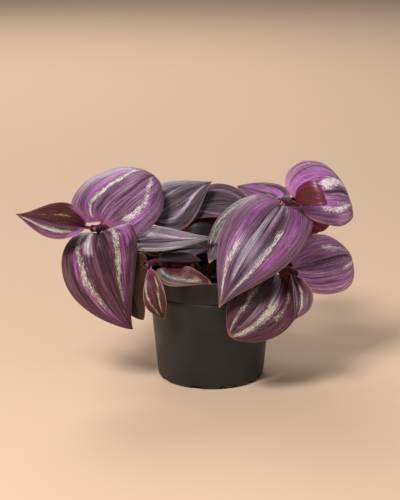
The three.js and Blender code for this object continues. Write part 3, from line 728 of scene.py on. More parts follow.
def soil_material(name, low, high):
    sh = Shader(name, 0.95, 0.2)
    place = sh.object_position()
    fine = sh.noise(place, 700.0, 5.0, 0.7)
    cloud = sh.noise(place, 130.0, 3.0)
    colour = sh.mix(sh.span(fine, 0.35, 0.7), low, high)
    colour = sh.mix(sh.math("MULTIPLY", sh.span(cloud, 0.4, 0.7), 0.5), colour, (22, 14, 10))
    return sh.finish(colour, None, sh.bump(fine, 0.0006, 0.9))


# ---------------------------------------------------------------- leaves

ALONG = 60  # steps from base to tip
HALF = 26  # steps from midrib to margin
THICK = 0.5  # blade at the midrib
THIN = 0.22  # blade at its margin
# Relief of a blade, in millimetres.
GROOVE_DEPTH, GROOVE_WIDTH = 0.55, 1.1
KEEL_DEPTH, KEEL_WIDTH = 0.5, 1.0
PLEAT_DEPTH, DARK_PLEAT_DEPTH = 0.2, 0.5
VEIN_HEIGHT, VEINS = 0.07, 6
PUCKER_HEIGHT = 0.176
RELIEF_HALF = 18  # half width of a blade whose pleats, veins and puckers are as deep as this


def blade_mesh(leaf, look):
    even = np.linspace(0, 1, ALONG + 1)
    t = 0.4 * even + 0.6 * (1 - np.cos(np.pi * even)) / 2
    e = np.linspace(0, 1, HALF + 1)
    r = 0.5 * e + 0.5 * (1 - np.cos(np.pi * e)) / 2
    s = np.concatenate([-r[:0:-1], r])
    T, S = np.meshgrid(t, s, indexing="ij")
    mid, half = blade_surface(leaf, T, S)
    along = np.gradient(mid, axis=0)
    across = np.gradient(mid, axis=1)
    normal = unit(np.cross(across, along))
    W = across_midrib(look, T, S)
    R, X = np.abs(W), np.abs(W) * half
    fade = smooth(0.0, 0.08, T) * (1 - T) ** 0.6
    # relief of the upper side: the midrib's groove, broad pleats beside the veins, and a slight pucker
    groove = -GROOVE_DEPTH * bell(X, 0, GROOVE_WIDTH) * fade
    pleats = -PLEAT_DEPTH * (bell(R, 0.3, 0.05) + bell(R, 0.66, 0.06))
    # the dark stripes lie in these deeper pleats; their colour is partly painted shade of the grooves
    pleats = pleats - DARK_PLEAT_DEPTH * stripe_mask(look, "dark", T, W)
    scale = np.clip(half / RELIEF_HALF, 0.25, 1.2)
    veins = VEIN_HEIGHT * np.cos(R * 2 * np.pi * VEINS) * smooth(0.02, 0.1, R) * smooth(1.0, 0.85, R)
    pucker = PUCKER_HEIGHT * rolling_noise(leaf["seed"] + 90, T * 11, S * 5, 7) * (1 - R**4)
    relief = groove + (pleats + veins + pucker) * scale * fade
    keel = -KEEL_DEPTH * bell(X, 0, KEEL_WIDTH) * smooth(0, 0.05, T) * (1 - T) ** 0.8
    thick = THIN + (THICK - THIN) * smooth(1.0, 0.75, R) * smooth(1.0, 0.85, T)
    top = mid + normal * (thick / 2 + relief)[..., None]
    under = mid - normal * (thick / 2 - relief - keel)[..., None]
    rows, columns = T.shape
    count = rows * columns
    faces_top = grid_faces(rows, columns)
    faces_under = grid_faces(rows, columns, count)[:, ::-1]
    rim = [*range(columns - 1), *(i * columns + columns - 1 for i in range(rows - 1))]
    rim += [(rows - 1) * columns + j for j in range(columns - 1, 0, -1)]
    rim += [i * columns for i in range(rows - 1, 0, -1)]
    ring = np.array(rim)
    after = np.roll(ring, -1)
    faces_rim = np.stack([after, ring, ring + count, after + count], axis=-1)
    points = np.concatenate([top.reshape(-1, 3), under.reshape(-1, 3)])
    faces = np.concatenate([faces_top, faces_under, faces_rim])
    index = np.concatenate([np.zeros(len(faces_top)), np.ones(len(faces_under)), np.zeros(len(faces_rim))])
    uv = np.stack([T, (S + 1) / 2], axis=-1).reshape(-1, 2)
    colours = blade_colours(leaf, look, T, S, half)
    colours = {k: np.tile(v.reshape(-1, 4), (2, 1)) for k, v in colours.items()}
    return points, faces, index, np.tile(uv, (2, 1)), colours


def across_midrib(look, T, S):
    """Where a point lies from margin to margin, -1 to 1, with 0 on a midrib that may bend off the middle."""
    return S - ramp(look["bend"], T) * (1 - S**2)


def stripe_mask(look, kind, T, W):
    """How strongly a leaf's stripes of one kind cover each point.

    A stripe runs from one share of the length to another, along a path between the midrib, 0, and the
    margins, -1 and 1, with a half width and a strength.
    """
    mask = np.zeros_like(T)
    for start, end, path, width, strength in look[kind]:
        centre = ramp(path, np.clip((T - start) / (end - start), 0, 1))
        ends = smooth(start - 0.06, start + 0.07, T) * smooth(end + 0.07, end - 0.07, T)
        mask = np.maximum(mask, strength * bell(W, centre, width) * ends)
    return mask


def blade_colours(leaf, look, T, S, half):
    """What the leaf materials read: where bands lie, the leaf's tone, its base, edge and tip, and painted
    light and shade.
    """
    W = across_midrib(look, T, S) + 0.02 * rolling_noise(leaf["seed"] + 5, T * 9, np.sign(S) * 2, 4)
    R = np.abs(S)

    def pick(key):
        below, above = look[key]
        return np.where(S < 0, ramp(below, T), ramp(above, T))

    kinds = ("silver", "violet", "dark", "lilac", "amber")
    silver, violet, dark, lilac, amber = (stripe_mask(look, kind, T, W) for kind in kinds)
    margin = smooth(look["margin_at"], look["margin_at"] + 0.14, R)
    vein = look["vein"] * np.exp(-((W * half / 0.5) ** 2)) * smooth(0, 0.05, T)
    tip = look["tip"] * smooth(0.955, 1.0, T)
    rim = smooth(half - 0.6, half - 0.2, R * half) * 0.8
    base = smooth(look["base_to"], 0.0, T) * look["base"]
    one = np.ones_like(T)
    # painted light and shade: the leaf's light value, a little uneven, times the shade of each half
    light = look["light"] * (1 + 0.12 * rolling_noise(leaf["seed"] + 31, T * 5, S * 3, 4)) * pick("shade")
    bands = np.stack([silver, violet, dark, margin], axis=-1)
    tones = np.stack([pick("wine"), pick("pink"), pick("green"), (leaf["seed"] % 17) / 17 * one], axis=-1)
    ends = np.stack([tip, rim, base, np.clip(light, 0, 1)], axis=-1)
    marks = np.stack([lilac, vein, amber, look["gloss"] * one], axis=-1)
    return {"Bands": bands, "Tones": tones, "EndsAndLight": ends, "Marks": marks}


def sheath_mesh(leaf):
    """The short tube that wraps the stem at a leaf's base, its mouth a little open towards the blade."""
    stem = stems[leaf["stem"]]
    rows, columns = 13, 28
    span = np.linspace(-SHEATH_BELOW, SHEATH_ABOVE, rows) / stem.length
    points = []
    for layer in (0, 1):
        for k, du in enumerate(span if layer == 0 else span[::-1]):
            v = (k if layer == 0 else rows - 1 - k) / (rows - 1)
            u = leaf["at"] + du
            over = max(u - 1, 0) * stem.length
            u = min(max(u, 0), 1)
            along = stem.tangent(u)
            centre = stem.at(u) + along * over
            out = unit(leaf["outward"] - (leaf["outward"] @ along) * along)
            aside = np.cross(along, out)
            a = np.linspace(0, 2 * np.pi, columns, endpoint=False)
            risen, towards = smooth(0, 0.5, v), 0.5 + 0.5 * np.cos(a)
            radius = stem.radius(u) + SHEATH_OUT + SHEATH_SWELL * risen + SHEATH_FLARE * v**3 * towards
            radius = radius - layer * (SHEATH_RIM + SHEATH_FILL * risen)
            points.append(centre + radius[:, None] * (np.cos(a)[:, None] * out + np.sin(a)[:, None] * aside))
    points = np.concatenate(points)
    faces = grid_faces(2 * rows, columns, 0, True)
    a = np.arange(columns)
    b = (a + 1) % columns
    last = (2 * rows - 1) * columns
    faces = np.concatenate([faces, np.stack([last + a, last + b, b, a], axis=-1)])[:, ::-1]
    return points, faces


def make_leaf(name, look, materials):
    leaf = leaf_spec(name)
    points, faces, index, uv, colours = blade_mesh(leaf, look)
    ring, ring_faces = sheath_mesh(leaf)
    start = len(points)
    n = len(ring)
    faces = np.concatenate([faces, ring_faces + start])
    index = np.concatenate([index, np.zeros(len(ring_faces))])
    uv = np.concatenate([uv, np.tile([[0.02, 0.5]], (n, 1))])
    sheath = {"Bands": [0, 0, 0, 0.2], "Tones": [0.7, 0, 0, 0.3], "Marks": [0, 0, 0, 0]}
    # the sheath's light of 0.45 is painted shade that darkens its colour slightly
    sheath["EndsAndLight"] = [0, 0, look["sheath"], 0.45]
    colours = {k: np.concatenate([v, np.tile([sheath[k]], (n, 1))]) for k, v in colours.items()}
    points = np.concatenate([points, ring])
    piece = make_object("blade_" + name, points, faces, materials, index, uv, colours)
    return settle(piece, "leaf_" + name)


# ---------------------------------------------------------------- stems


def make_stem(name, material):
    stem = stems[name]
    sides = 24
    steps = int(stem.length / STEM_STEP)
    us = np.linspace(0, 1, steps + 1)
    centres = [np.array(stem.at(u)) for u in us]
    radii = [stem.radius(u) for u in us]
    upward = np.array([0, 0, 1.0])
    root = centres[0]
    below = [root - upward * depth for depth in (ROOTED, 12, 3)]
    centres = below + centres
    radii = [STEM_RADIUS] * 3 + radii
    tip = stem.tangent(1.0)
    for over, share in ((0.6, 0.95), (1.1, 0.8), (1.45, 0.5), (1.55, 0.15)):
        centres.append(stem.at(1.0) + tip * over)
        radii.append(stem.radius(1.0) * share)
    centres = np.array(centres)
    tangents = unit(np.gradient(centres, axis=0))
    normal = np.array([0, 1.0, 0])
    points, uv, tone = [], [], []
    along = 0.0
    for k, (centre, radius, tangent) in enumerate(zip(centres, radii, tangents)):
        normal = unit(normal - (normal @ tangent) * tangent)
        side = np.cross(tangent, normal)
        a = np.linspace(0, 2 * np.pi, sides, endpoint=False)
        ribbed = radius * (1 + RIB_HEIGHT * np.cos(a * STEM_RIBS))
        points.append(centre + ribbed[:, None] * (np.cos(a)[:, None] * normal + np.sin(a)[:, None] * side))
        along += 0 if k == 0 else np.linalg.norm(centre - centres[k - 1])
        uv.append(np.stack([np.full(sides, along * 0.1), a / (2 * np.pi)], axis=-1))
        u = min(max((k - 3) / steps, 0), 1)
        near = max(math.exp(-(((u - node) * stem.length / NODE_REACH) ** 2)) for node in stem.nodes)
        tone.append(np.tile([0.8 * near, 0.75 * smooth(0.6, 1, u), 1.0 if k < 3 else 0.0, 1.0], (sides, 1)))
    points = np.concatenate(points + [centres[:1], centres[-1:] + tip * 0.03])
    faces = tube_faces(len(centres), sides)
    uv = np.concatenate(uv + [[[0, 0]], [[0, 0]]])
    tone = np.concatenate(tone + [[[0, 0, 1, 1]], [[0, 1, 0, 1]]])
    piece = make_object(name + "_skin", points, faces, [material], None, uv, {"Stem": tone})
    return settle(piece, name)


# ---------------------------------------------------------------- pot and soil


def make_pot(material):
    """The pot turned from a fine profile, with its drain notches cut up through the foot ring."""
    band = POT_HEIGHT - RIM_BAND_HEIGHT
    channel_top = CHANNEL + FLOOR

    def bow(a, b, count, bulge):
        """Points between two profile points on a shallow arc, without the last."""
        a, b = np.array(a, float), np.array(b, float)
        out = np.array([b[1] - a[1], a[0] - b[0]])
        shares = [k / count for k in range(count)]
        return [tuple(a + (b - a) * t + out * bulge * 4 * t * (1 - t)) for t in shares]

    profile = [(0, 0), (PAD_RADIUS / 2, 0), (PAD_RADIUS - 0.4, 0)]
    profile += [(PAD_RADIUS, 0), (PAD_RADIUS + 0.15, 0.25)]
    profile += [(PAD_RADIUS + 0.7, CHANNEL - 0.3), (PAD_RADIUS + 1.0, CHANNEL), (FOOT_RADIUS - 3.0, CHANNEL)]
    profile += [(FOOT_RADIUS - 2.4, CHANNEL - 0.1), (FOOT_RADIUS - 2.3, CHANNEL - 0.4)]
    profile += [(FOOT_RADIUS - 1.9, 0.2), (FOOT_RADIUS - 1.7, 0), (FOOT_RADIUS - 0.6, 0)]
    profile += bow((FOOT_RADIUS - 0.2, 0.05), (WALL_AT_FOOT, FOOT_BEVEL + 0.4), 6, 0.08)
    profile += bow((WALL_AT_FOOT, FOOT_BEVEL + 0.4), (WALL_AT_BAND, band - 1.5), 22, 0.0)
    groove = WALL_AT_BAND - RIM_GROOVE
    profile += [(WALL_AT_BAND, band - 1.5), (WALL_AT_BAND - RIM_GROOVE / 3, band - 1.3)]
    profile += [(groove, band - 0.9), (groove, band - 0.3), (WALL_AT_BAND - 0.2, band - 0.22)]
    step = WALL_AT_BAND + RIM_STEP
    profile += [(step - 0.3, band - 0.2), (step - 0.08, band - 0.1), (step, band + 0.12)]
    profile += bow((step + 0.01, band + 0.4), (RIM_RADIUS, POT_HEIGHT - 1.0), 10, 0.0)
    # over the rounded top of the rim: how far in from the outside, and how far below the top
    inset = [(0, 1.0), (0.02, 0.5), (0.14, 0.2), (0.35, 0.04), (0.6, 0)]
    inset += [(WALL - 0.5, 0), (WALL - 0.2, 0.06), (WALL, 0.35)]
    profile += [(RIM_RADIUS - inward, POT_HEIGHT - below) for inward, below in inset]
    profile += bow((RIM_RADIUS - WALL, POT_HEIGHT - 0.6), (WALL_AT_BAND - WALL + 0.5, band), 6, 0.0)
    profile += bow((WALL_AT_BAND - WALL + 0.5, band), (WALL_AT_FOOT - WALL, channel_top + 2), 8, 0.0)
    profile += [(WALL_AT_FOOT - WALL, channel_top + 2), (WALL_AT_FOOT - WALL - 2, channel_top)]
    profile += [(PAD_RADIUS - 0.7, channel_top), (PAD_RADIUS - 1.5, FLOOR), (0, FLOOR)]
    angles = set(np.round(np.arange(0, 360, 1.5), 4))
    notches = [(a + turn, w) for a, w in DRAINS for turn in (0, 180)]
    for a, w in notches:
        for edge in (-w / 2, w / 2):
            angles |= {round((a + edge - 0.12) % 360, 4), round((a + edge + 0.12) % 360, 4)}
    angles = np.array(sorted(angles))
    radius, height = np.array([p[0] for p in profile[1:-1]]), np.array([p[1] for p in profile[1:-1]])
    inside = np.zeros(len(angles), bool)
    for a, w in notches:
        inside |= np.abs((angles - a + 180) % 360 - 180) < w / 2
    turn = np.radians(angles)
    x = radius[:, None] * np.sin(turn)[None, :]
    y = -radius[:, None] * np.cos(turn)[None, :]
    foot = (radius > FOOT_RADIUS - 2.5) & (height < DRAIN_HEIGHT)
    z = np.where(foot[:, None] & inside[None, :], DRAIN_HEIGHT - 0.25, height[:, None] + 0 * x)
    rows, columns = x.shape
    points = np.stack([x, y, z], axis=-1).reshape(-1, 3)
    faces = tube_faces(rows, columns)
    points = np.concatenate([points, [[0, 0, profile[0][1]], [0, 0, profile[-1][1]]]])
    piece = make_object("pot_shell", points, faces, [material])
    return settle(piece, "pot")


def soil_radius(height):
    band, foot = POT_HEIGHT - RIM_BAND_HEIGHT, CHANNEL + FLOOR + 2
    t = (height - foot) / (band - foot)
    return WALL_AT_FOOT - WALL + (WALL_AT_BAND + 0.5 - WALL_AT_FOOT) * t - GAP


def make_soil(materials):
    """The bed of soil, uneven on top, with crumbs and shreds of bark pressed into it."""
    low = CHANNEL + FLOOR + GAP
    columns = 180
    edge = soil_radius(SOIL_TOP - 3)
    rings = [(PAD_RADIUS - 1.9, FLOOR + GAP), (PAD_RADIUS - 1.2, low), (soil_radius(low + 2) - 2.2, low)]
    rings += [(soil_radius(low + 2), low + 2), (edge, SOIL_TOP - 3)]
    rings += [(edge * share, SOIL_TOP) for share in np.linspace(0.985, 0.02, 56)]
    turn = np.linspace(0, 2 * np.pi, columns, endpoint=False)
    radius = np.array([r for r, _ in rings])[:, None] + 0 * turn
    height = np.array([h for _, h in rings])[:, None] + 0 * turn
    x, y = radius * np.cos(turn), radius * np.sin(turn)
    bump = 0
    for seed, share, scale in ((3, 0.55, 0.35), (4, 0.3, 0.9), (5, 0.16, 2.4)):
        bump = bump + share * rolling_noise(seed, x * scale, y * scale, 9)
    height = np.where(height >= SOIL_TOP, height + bump * SOIL_BUMP * 0.5 - 0.3, height)
    points = np.stack([x, y, height], axis=-1).reshape(-1, 3)
    faces = tube_faces(len(rings), columns)
    points = np.concatenate([points, [[0, 0, rings[0][1]], [0, 0, SOIL_TOP]]])
    index = [0] * len(faces)
    draw = np.random.default_rng(CRUMB_SEED)
    points = [points]
    total = len(points[0])
    for _ in range(CRUMBS):
        spread, angle = edge * 0.97 * math.sqrt(draw.uniform(0.0, 1)), draw.uniform(0, 2 * np.pi)
        size = draw.uniform(*CRUMB_SIZE)
        shred = draw.uniform() < SHRED_SHARE
        ball, ball_faces = crumb_mesh(draw, size, shred)
        height = SOIL_TOP + draw.uniform(-0.2, 0.6)
        centre = np.array([spread * math.cos(angle), spread * math.sin(angle), height])
        limit = edge - size * 2.4
        if spread > limit:
            centre[:2] *= limit / spread
        points.append(ball + centre)
        faces += [[i + total for i in f] for f in ball_faces]
        index += [1 if shred or draw.uniform() < BARK_SHARE else 0] * len(ball_faces)
        total += len(ball)
    piece = make_object("soil_bed", np.concatenate(points), faces, materials, index)
    return settle(piece, "soil")


def crumb_mesh(draw, size, shred):
    """A small lump with an uneven surface, long and thin for a shred of bark."""
    rows, columns = 5, 7
    stretch = np.array([2.2, 0.45, 0.3]) if shred else draw.uniform(0.7, 1.2, 3)
    points = []
    for i in range(1, rows):
        lat = math.pi * i / rows
        for k in range(columns):
            lon = 2 * math.pi * k / columns
            p = np.array([math.sin(lat) * math.cos(lon), math.sin(lat) * math.sin(lon), math.cos(lat)])
            points.append(p * draw.uniform(0.75, 1.15) * stretch)
    points += [np.array([0, 0, 1.0]) * stretch, np.array([0, 0, -1.0]) * stretch]
    spin, tilt = draw.uniform(0, 2 * math.pi), draw.uniform(-0.35, 0.35)
    turn = np.array([[math.cos(spin), -math.sin(spin), 0], [math.sin(spin), math.cos(spin), 0], [0, 0, 1]])
    lean = np.array([[math.cos(tilt), 0, -math.sin(tilt)], [0, 1, 0], [math.sin(tilt), 0, math.cos(tilt)]])
    points = np.array(points) * size @ lean.T @ turn.T
    faces = []
    top, bottom = (rows - 1) * columns, (rows - 1) * columns + 1
    for k in range(columns):
        b = (k + 1) % columns
        faces.append([top, k, b])
        faces.append([bottom, (rows - 2) * columns + b, (rows - 2) * columns + k])
        for i in range(rows - 2):
            faces.append([i * columns + k, (i + 1) * columns + k, (i + 1) * columns + b, i * columns + b])
    return points, faces


# ---------------------------------------------------------------- the looks of each leaf
# Pairs hold the half with s < 0 and the half with s > 0, and lists run evenly from base to tip. With a
# leaf's upper side to the viewer and its tip down, s > 0 is the half on the left.


def both(*values):
    return (list(values), list(values))


def plain_stripes(strength):
    """The stripes of a leaf that the photograph doesn't show well: alike in both halves."""
    bands = {"silver": [], "violet": [], "lilac": [], "dark": []}
    for side in (-1, 1):
        silver = [0.5 * side, 0.5 * side, 0.46 * side, 0.4 * side]
        violet = [0.66 * side, 0.66 * side, 0.6 * side]
        bands["silver"].append((0.1, 0.85, silver, 0.09, strength))
        bands["violet"].append((0.05, 0.7, violet, 0.11, 0.8 * strength))
        bands["lilac"].append((0.1, 0.8, [0.24 * side], 0.08, 0.4))
        bands["dark"].append((0.05, 0.9, [0.08 * side], 0.07, 0.6))
    return bands


# light and shade are painted light and shade: light 0.5 and shade 1 leave a leaf's colours as they are,
# lower values darken a leaf that stands in shade, higher values lighten it
PLAIN = dict(
    wine=both(0.1), pink=both(0.15), green=both(0), shade=both(1), light=0.5, gloss=0.3,
    margin_at=0.7, vein=0.8, bend=[0], base=0.7, base_to=0.1, sheath=0.15, tip=0.0,
    silver=[], violet=[], dark=[], lilac=[], amber=[],
)

LOOKS = {
    "left_young": dict(
        wine=([0.3, 0.5, 0.4], [0.9, 1, 0.8]), pink=both(0), base=1, base_to=0.14, gloss=0.8, vein=0.5,
        silver=[
            (0.34, 0.97, [-0.5, -0.48, -0.42, -0.36], 0.14, 1),
            (0.4, 0.8, [0.42, 0.4, 0.36], 0.05, 0.8),
        ],
        violet=[
            (0, 0.26, [-0.5, -0.65], 0.4, 1.5), (0.15, 0.42, [-0.6, -0.75, -0.9], 0.22, 1.4),
            (0.02, 0.42, [0.9, 0.92, 0.98], 0.22, 1.5), (0.4, 0.8, [-0.8, -0.72], 0.08, 0.5),
        ],
        dark=[(0.15, 0.85, [0.18, 0.16, 0.14, 0.05], 0.08, 0.8)],
    ),
    "left_top": dict(
        pink=both(0.3, 0.4, 0.4), bend=[0, 0, 0, -0.16, -0.3], base=0.5, base_to=0.2, vein=1,
        silver=[
            (0.2, 0.78, [0.5, 0.57, 0.5, 0.3, 0.1], 0.09, 1),
            (0.06, 0.72, [-0.5, -0.54, -0.45, -0.4, -0.43, -0.5], 0.06, 0.95),
        ],
        violet=[
            (0.15, 0.6, [0.62, 0.7, 0.64, 0.5], 0.09, 1),
            (0.08, 0.62, [-0.6, -0.64, -0.6, -0.56], 0.09, 0.9), (0.5, 0.8, [0.2, 0.0], 0.12, 0.4),
        ],
        dark=[
            (0.12, 0.36, [-0.34, -0.28, -0.28], 0.05, 0.9), (0.04, 0.3, [0.08, 0.28, 0.34], 0.04, 0.6),
            (0.35, 0.9, [0.04, 0.03], 0.04, 0.6),
        ],
        lilac=[(0.1, 0.7, [-0.15], 0.12, 0.35), (0.2, 0.7, [0.2], 0.1, 0.35)],
    ),
    "left_front": dict(
        wine=([0.35], [0.35, 0.45]), pink=both(0), margin_at=0.68, base=0.6, vein=1,
        bend=[0.03, 0.08, 0.08, 0.08], light=0.43,
        silver=[
            (0.08, 0.3, [0.78, 0.6, 0.56], 0.12, 1.1),
            (0.26, 0.85, [0.54, 0.44, 0.42, 0.38], 0.09, 0.95),
            (0.06, 0.85, [-0.6, -0.56, -0.5, -0.44, -0.38, -0.34], 0.09, 0.95),
        ],
        lilac=[(0.08, 0.42, [0.4, 0.26, 0.2], 0.14, 0.9), (0.3, 0.9, [0.15], 0.12, 0.25)],
        violet=[
            (0.35, 0.95, [0.62, 0.56, 0.48, 0.36], 0.1, 0.9), (0.1, 0.4, [0.42, 0.36], 0.07, 0.5),
            (0.04, 0.42, [-0.78, -0.78, -0.74], 0.11, 1.4),
            (0.35, 0.85, [-0.66, -0.58, -0.48], 0.1, 0.7),
        ],
        dark=[(0.02, 0.9, [-0.15, -0.2, -0.2, -0.14], 0.12, 1.2), (0.3, 0.95, [0.02], 0.04, 0.5)],
    ),
    "mid_top_left": dict(
        green=both(0.9), pink=both(0), base=0.2, bend=[0, 0, -0.05, -0.1], margin_at=0.9,
        lilac=[
            (0.1, 0.92, [0.64, 0.6, 0.5, 0.34, 0.15], 0.09, 1),
            (0.3, 0.9, [-0.26, -0.3, -0.4, -0.5], 0.05, 0.8),
        ],
        violet=[(0.3, 0.95, [0.4, 0.3, 0.15], 0.1, 0.4), (0.4, 0.9, [-0.5, -0.6], 0.12, 0.4)],
        dark=[(0.1, 0.9, [0.22], 0.07, 0.5), (0.2, 0.9, [-0.14], 0.05, 0.6)],
        amber=[(0.4, 0.9, [1], 0.04, 0.5)],
    ),
    "mid_top_right": dict(
        green=both(0.9), pink=both(0), base=0.2, light=0.42,
        lilac=[
            (0.25, 0.55, [0.4, 0.72, 0.86], 0.09, 0.8), (0.42, 0.82, [-0.68, -0.5, -0.4], 0.08, 0.7),
        ],
        violet=[
            (0.25, 0.6, [0.45, 0.76, 0.9], 0.1, 0.6), (0.42, 0.85, [-0.62, -0.44, -0.36], 0.1, 0.6),
        ],
        dark=[(0.1, 0.9, [0.05], 0.05, 0.5)],
    ),
    "mid_front": dict(
        green=both(0.5), pink=both(0.1), tip=1, base=0.2, margin_at=0.85, light=0.33,
        silver=[(0.28, 0.97, [-0.56, -0.46, -0.3, -0.16, -0.1], 0.08, 1)],
        lilac=[(0.15, 0.9, [-0.5, -0.3, -0.15], 0.16, 0.7), (0.15, 0.75, [0.76, 0.8, 0.84], 0.1, 0.9)],
        violet=[(0.45, 0.8, [-0.52, -0.38, -0.28], 0.09, 0.9)],
        amber=[(0.3, 1, [1, 0.98, 0.94], 0.06, 0.7)],
        dark=[(0.1, 0.9, [0.04], 0.05, 0.6)],
    ),
    # mid_behind, left_shade and mid_low: painted shade makes them almost black, as leaves deep in the
    # plant's shade
    "mid_behind": dict(green=both(0.4), light=0.06, **plain_stripes(0.1)),
    "left_shade": dict(wine=both(0.6), light=0.08, **plain_stripes(0.1)),
    "mid_under": dict(
        green=both(0.3), light=0.4,
        violet=[(0.1, 0.95, [0.8], 0.2, 1.5)],
        lilac=[(0.2, 0.9, [0.2], 0.1, 0.5)],
        # the broad dark band over the half with s < 0 is painted shade, where the leaf lies under mid_front
        dark=[(0.05, 0.95, [-0.3], 0.5, 1.2)],
    ),
    "mid_low": dict(wine=both(0.7), light=0.14, **plain_stripes(0.3)),
    "rim_leaf": dict(
        wine=([0.9], [0.15]), green=([0.1], [0.8]), tip=0.8, light=0.42, vein=0.2,
        silver=[(0.08, 0.9, [0.55, 0.2, 0.0, -0.2, -0.25], 0.26, 0.75)],
        amber=[(0.1, 0.8, [0.8, 0.6, 0.7], 0.2, 0.5), (0.3, 0.95, [0.98], 0.06, 0.8)],
        violet=[(0.5, 0.85, [-0.02], 0.06, 0.7)],
    ),
    "front_hanging": dict(
        wine=both(0.9), pink=both(0), base=1, base_to=0.16, tip=0.7, margin_at=0.78,
        silver=[
            (0.18, 0.9, [0.85, 0.72, 0.5, 0.36], 0.1, 0.9), (0.18, 0.4, [-0.6, -0.5], 0.12, 0.9),
            (0.42, 0.85, [-0.35, -0.2, -0.15], 0.14, 1),
        ],
        dark=[(0.05, 0.9, [0.06], 0.08, 0.6)],
    ),
    "front_under": dict(green=both(1), wine=both(0.4), light=0.2, **plain_stripes(0.3)),
    "right_front": dict(
        pink=both(0.35, 0.3), tip=0.7, base=0.4, vein=0.8, light=0.45,
        silver=[
            (0.3, 0.95, [-0.36, -0.39, -0.41, -0.38, -0.33], 0.07, 1.1),
            (0.5, 0.97, [0.36, 0.44, 0.5, 0.45], 0.11, 0.9),
        ],
        violet=[
            (0.03, 0.6, [0.52, 0.5, 0.45, 0.42], 0.17, 0.85), (0.55, 0.9, [0.5], 0.16, 0.5),
            (0.03, 0.65, [-0.52, -0.6, -0.6, -0.56], 0.14, 1), (0.6, 0.85, [-0.35], 0.06, 0.7),
        ],
        lilac=[(0.06, 0.8, [0.1], 0.1, 1), (0.15, 0.7, [-0.05, 0.0], 0.06, 0.7)],
        dark=[
            (0.02, 0.85, [-0.2, -0.25, -0.24, -0.18, -0.1], 0.085, 1.1),
            (0.04, 0.85, [0.2, 0.2, 0.22, 0.26], 0.035, 0.9),
        ],
        amber=[(0.88, 1, [-0.5, -0.4], 0.3, 0.5), (0.9, 1, [0.5, 0.4], 0.3, 0.5)],
    ),
    "right_top": dict(
        pink=both(1), base=0.5, base_to=0.2, bend=[0, 0.05, 0.1, 0, -0.2], light=0.66,
        silver=[
            (0.3, 0.85, [0.56, 0.54, 0.5, 0.42], 0.1, 1.1),
            (0.42, 0.8, [-0.18, -0.24, -0.32, -0.4], 0.15, 1.3),
        ],
        violet=[
            (0.02, 0.55, [0.4, 0.45, 0.45], 0.24, 0.8), (0.02, 0.6, [-0.45, -0.52, -0.5], 0.2, 0.9),
            (0.6, 0.85, [-0.6], 0.12, 0.5),
        ],
        dark=[(0.4, 0.95, [0.05, 0], 0.07, 0.8)],
    ),
    "right_young": dict(
        wine=both(1), pink=both(0), base=0.3, gloss=0.5, light=0.32,
        violet=[
            (0.15, 0.85, [0.42], 0.06, 0.6), (0.15, 0.85, [-0.42], 0.06, 0.6),
            (0.3, 0.9, [0.9], 0.1, 0.5), (0.3, 0.9, [-0.9], 0.1, 0.5),
        ],
        amber=[(0.15, 0.75, [0.65], 0.12, 0.5), (0.15, 0.75, [-0.65], 0.12, 0.5)],
        dark=[(0.1, 0.9, [0.2], 0.06, 0.5), (0.1, 0.9, [-0.2], 0.06, 0.5)],
    ),
    "right_mid": dict(
        pink=both(0.9), base=0.9, base_to=0.16, vein=0.8, light=1,
        silver=[(0.5, 0.9, [-0.45, -0.4, -0.34], 0.12, 0.9), (0.68, 0.93, [0.36, 0.34], 0.09, 0.9)],
        violet=[(0.2, 0.65, [-0.48, -0.52, -0.5], 0.14, 0.6), (0.1, 0.7, [0.6], 0.12, 0.5)],
        lilac=[(0.15, 0.7, [0.3], 0.05, 0.5), (0.15, 0.7, [0.52], 0.05, 0.4)],
        # the wider, fainter dark stripe on the half with s < 0 is painted shade
        dark=[(0.06, 0.9, [-0.04, -0.08, -0.1], 0.06, 0.9), (0.08, 0.55, [-0.2, -0.22], 0.12, 0.5)],
    ),
    "right_small": dict(
        wine=([0.7, 0.6, 0.3], [0.1]), green=([0], [0.4]), pink=([0.2], [0.2]), base=1, base_to=0.2,
        silver=[
            (0.2, 0.92, [0.14, 0.16], 0.1, 1), (0.15, 0.9, [0.5, 0.46], 0.08, 0.8),
            (0.1, 0.9, [-0.26, -0.24], 0.08, 0.9),
        ],
        lilac=[(0.1, 0.9, [0.32, 0.34], 0.2, 0.8)],
        dark=[(0.05, 0.95, [-0.1], 0.05, 0.9), (0.05, 0.4, [-0.5], 0.15, 0.8)],
        violet=[(0.02, 0.3, [0.7], 0.3, 0.9)],
    ),
    "right_low": dict(
        wine=both(0.7, 0.6), pink=both(0), green=both(0.2), light=0.42, tip=0.5, margin_at=0.68,
        vein=0.5,
        silver=[
            (0.38, 1, [0.28, 0.34, 0.38], 0.1, 0.85), (0.22, 0.62, [-0.58, -0.62, -0.6], 0.08, 0.75),
            (0.42, 1, [-0.34, -0.34, -0.4], 0.14, 1.05),
        ],
        lilac=[(0.08, 0.5, [-0.15, -0.25, -0.3], 0.16, 0.7)],
        violet=[(0.15, 0.5, [-0.4, -0.45], 0.12, 0.5)],
        dark=[(0.1, 0.95, [0.12, 0.14, 0.1], 0.12, 1), (0.2, 0.8, [-0.8, -0.78], 0.07, 0.5)],
    ),
    "right_behind": dict(
        green=both(1), pink=both(0), tip=1, light=0.45,
        silver=[(0.1, 0.9, [0.6], 0.25, 0.7)],
        lilac=[(0.1, 0.9, [0.3], 0.15, 0.5)],
        amber=[(0.2, 0.9, [1], 0.05, 0.5)],
    ),
    "right_under": dict(wine=both(0.8), **plain_stripes(0.5)),
    "back_top": dict(
        pink=both(0.4), light=0.45,
        violet=[(0.1, 0.95, [0.4], 0.35, 0.9)],
        dark=[(0.1, 0.6, [0.7], 0.12, 0.8)],
        silver=[(0.6, 0.8, [0.75], 0.12, 0.7)],
    ),
    "side_right_down": dict(wine=both(0.6), light=0.25, **plain_stripes(0.5)),
}


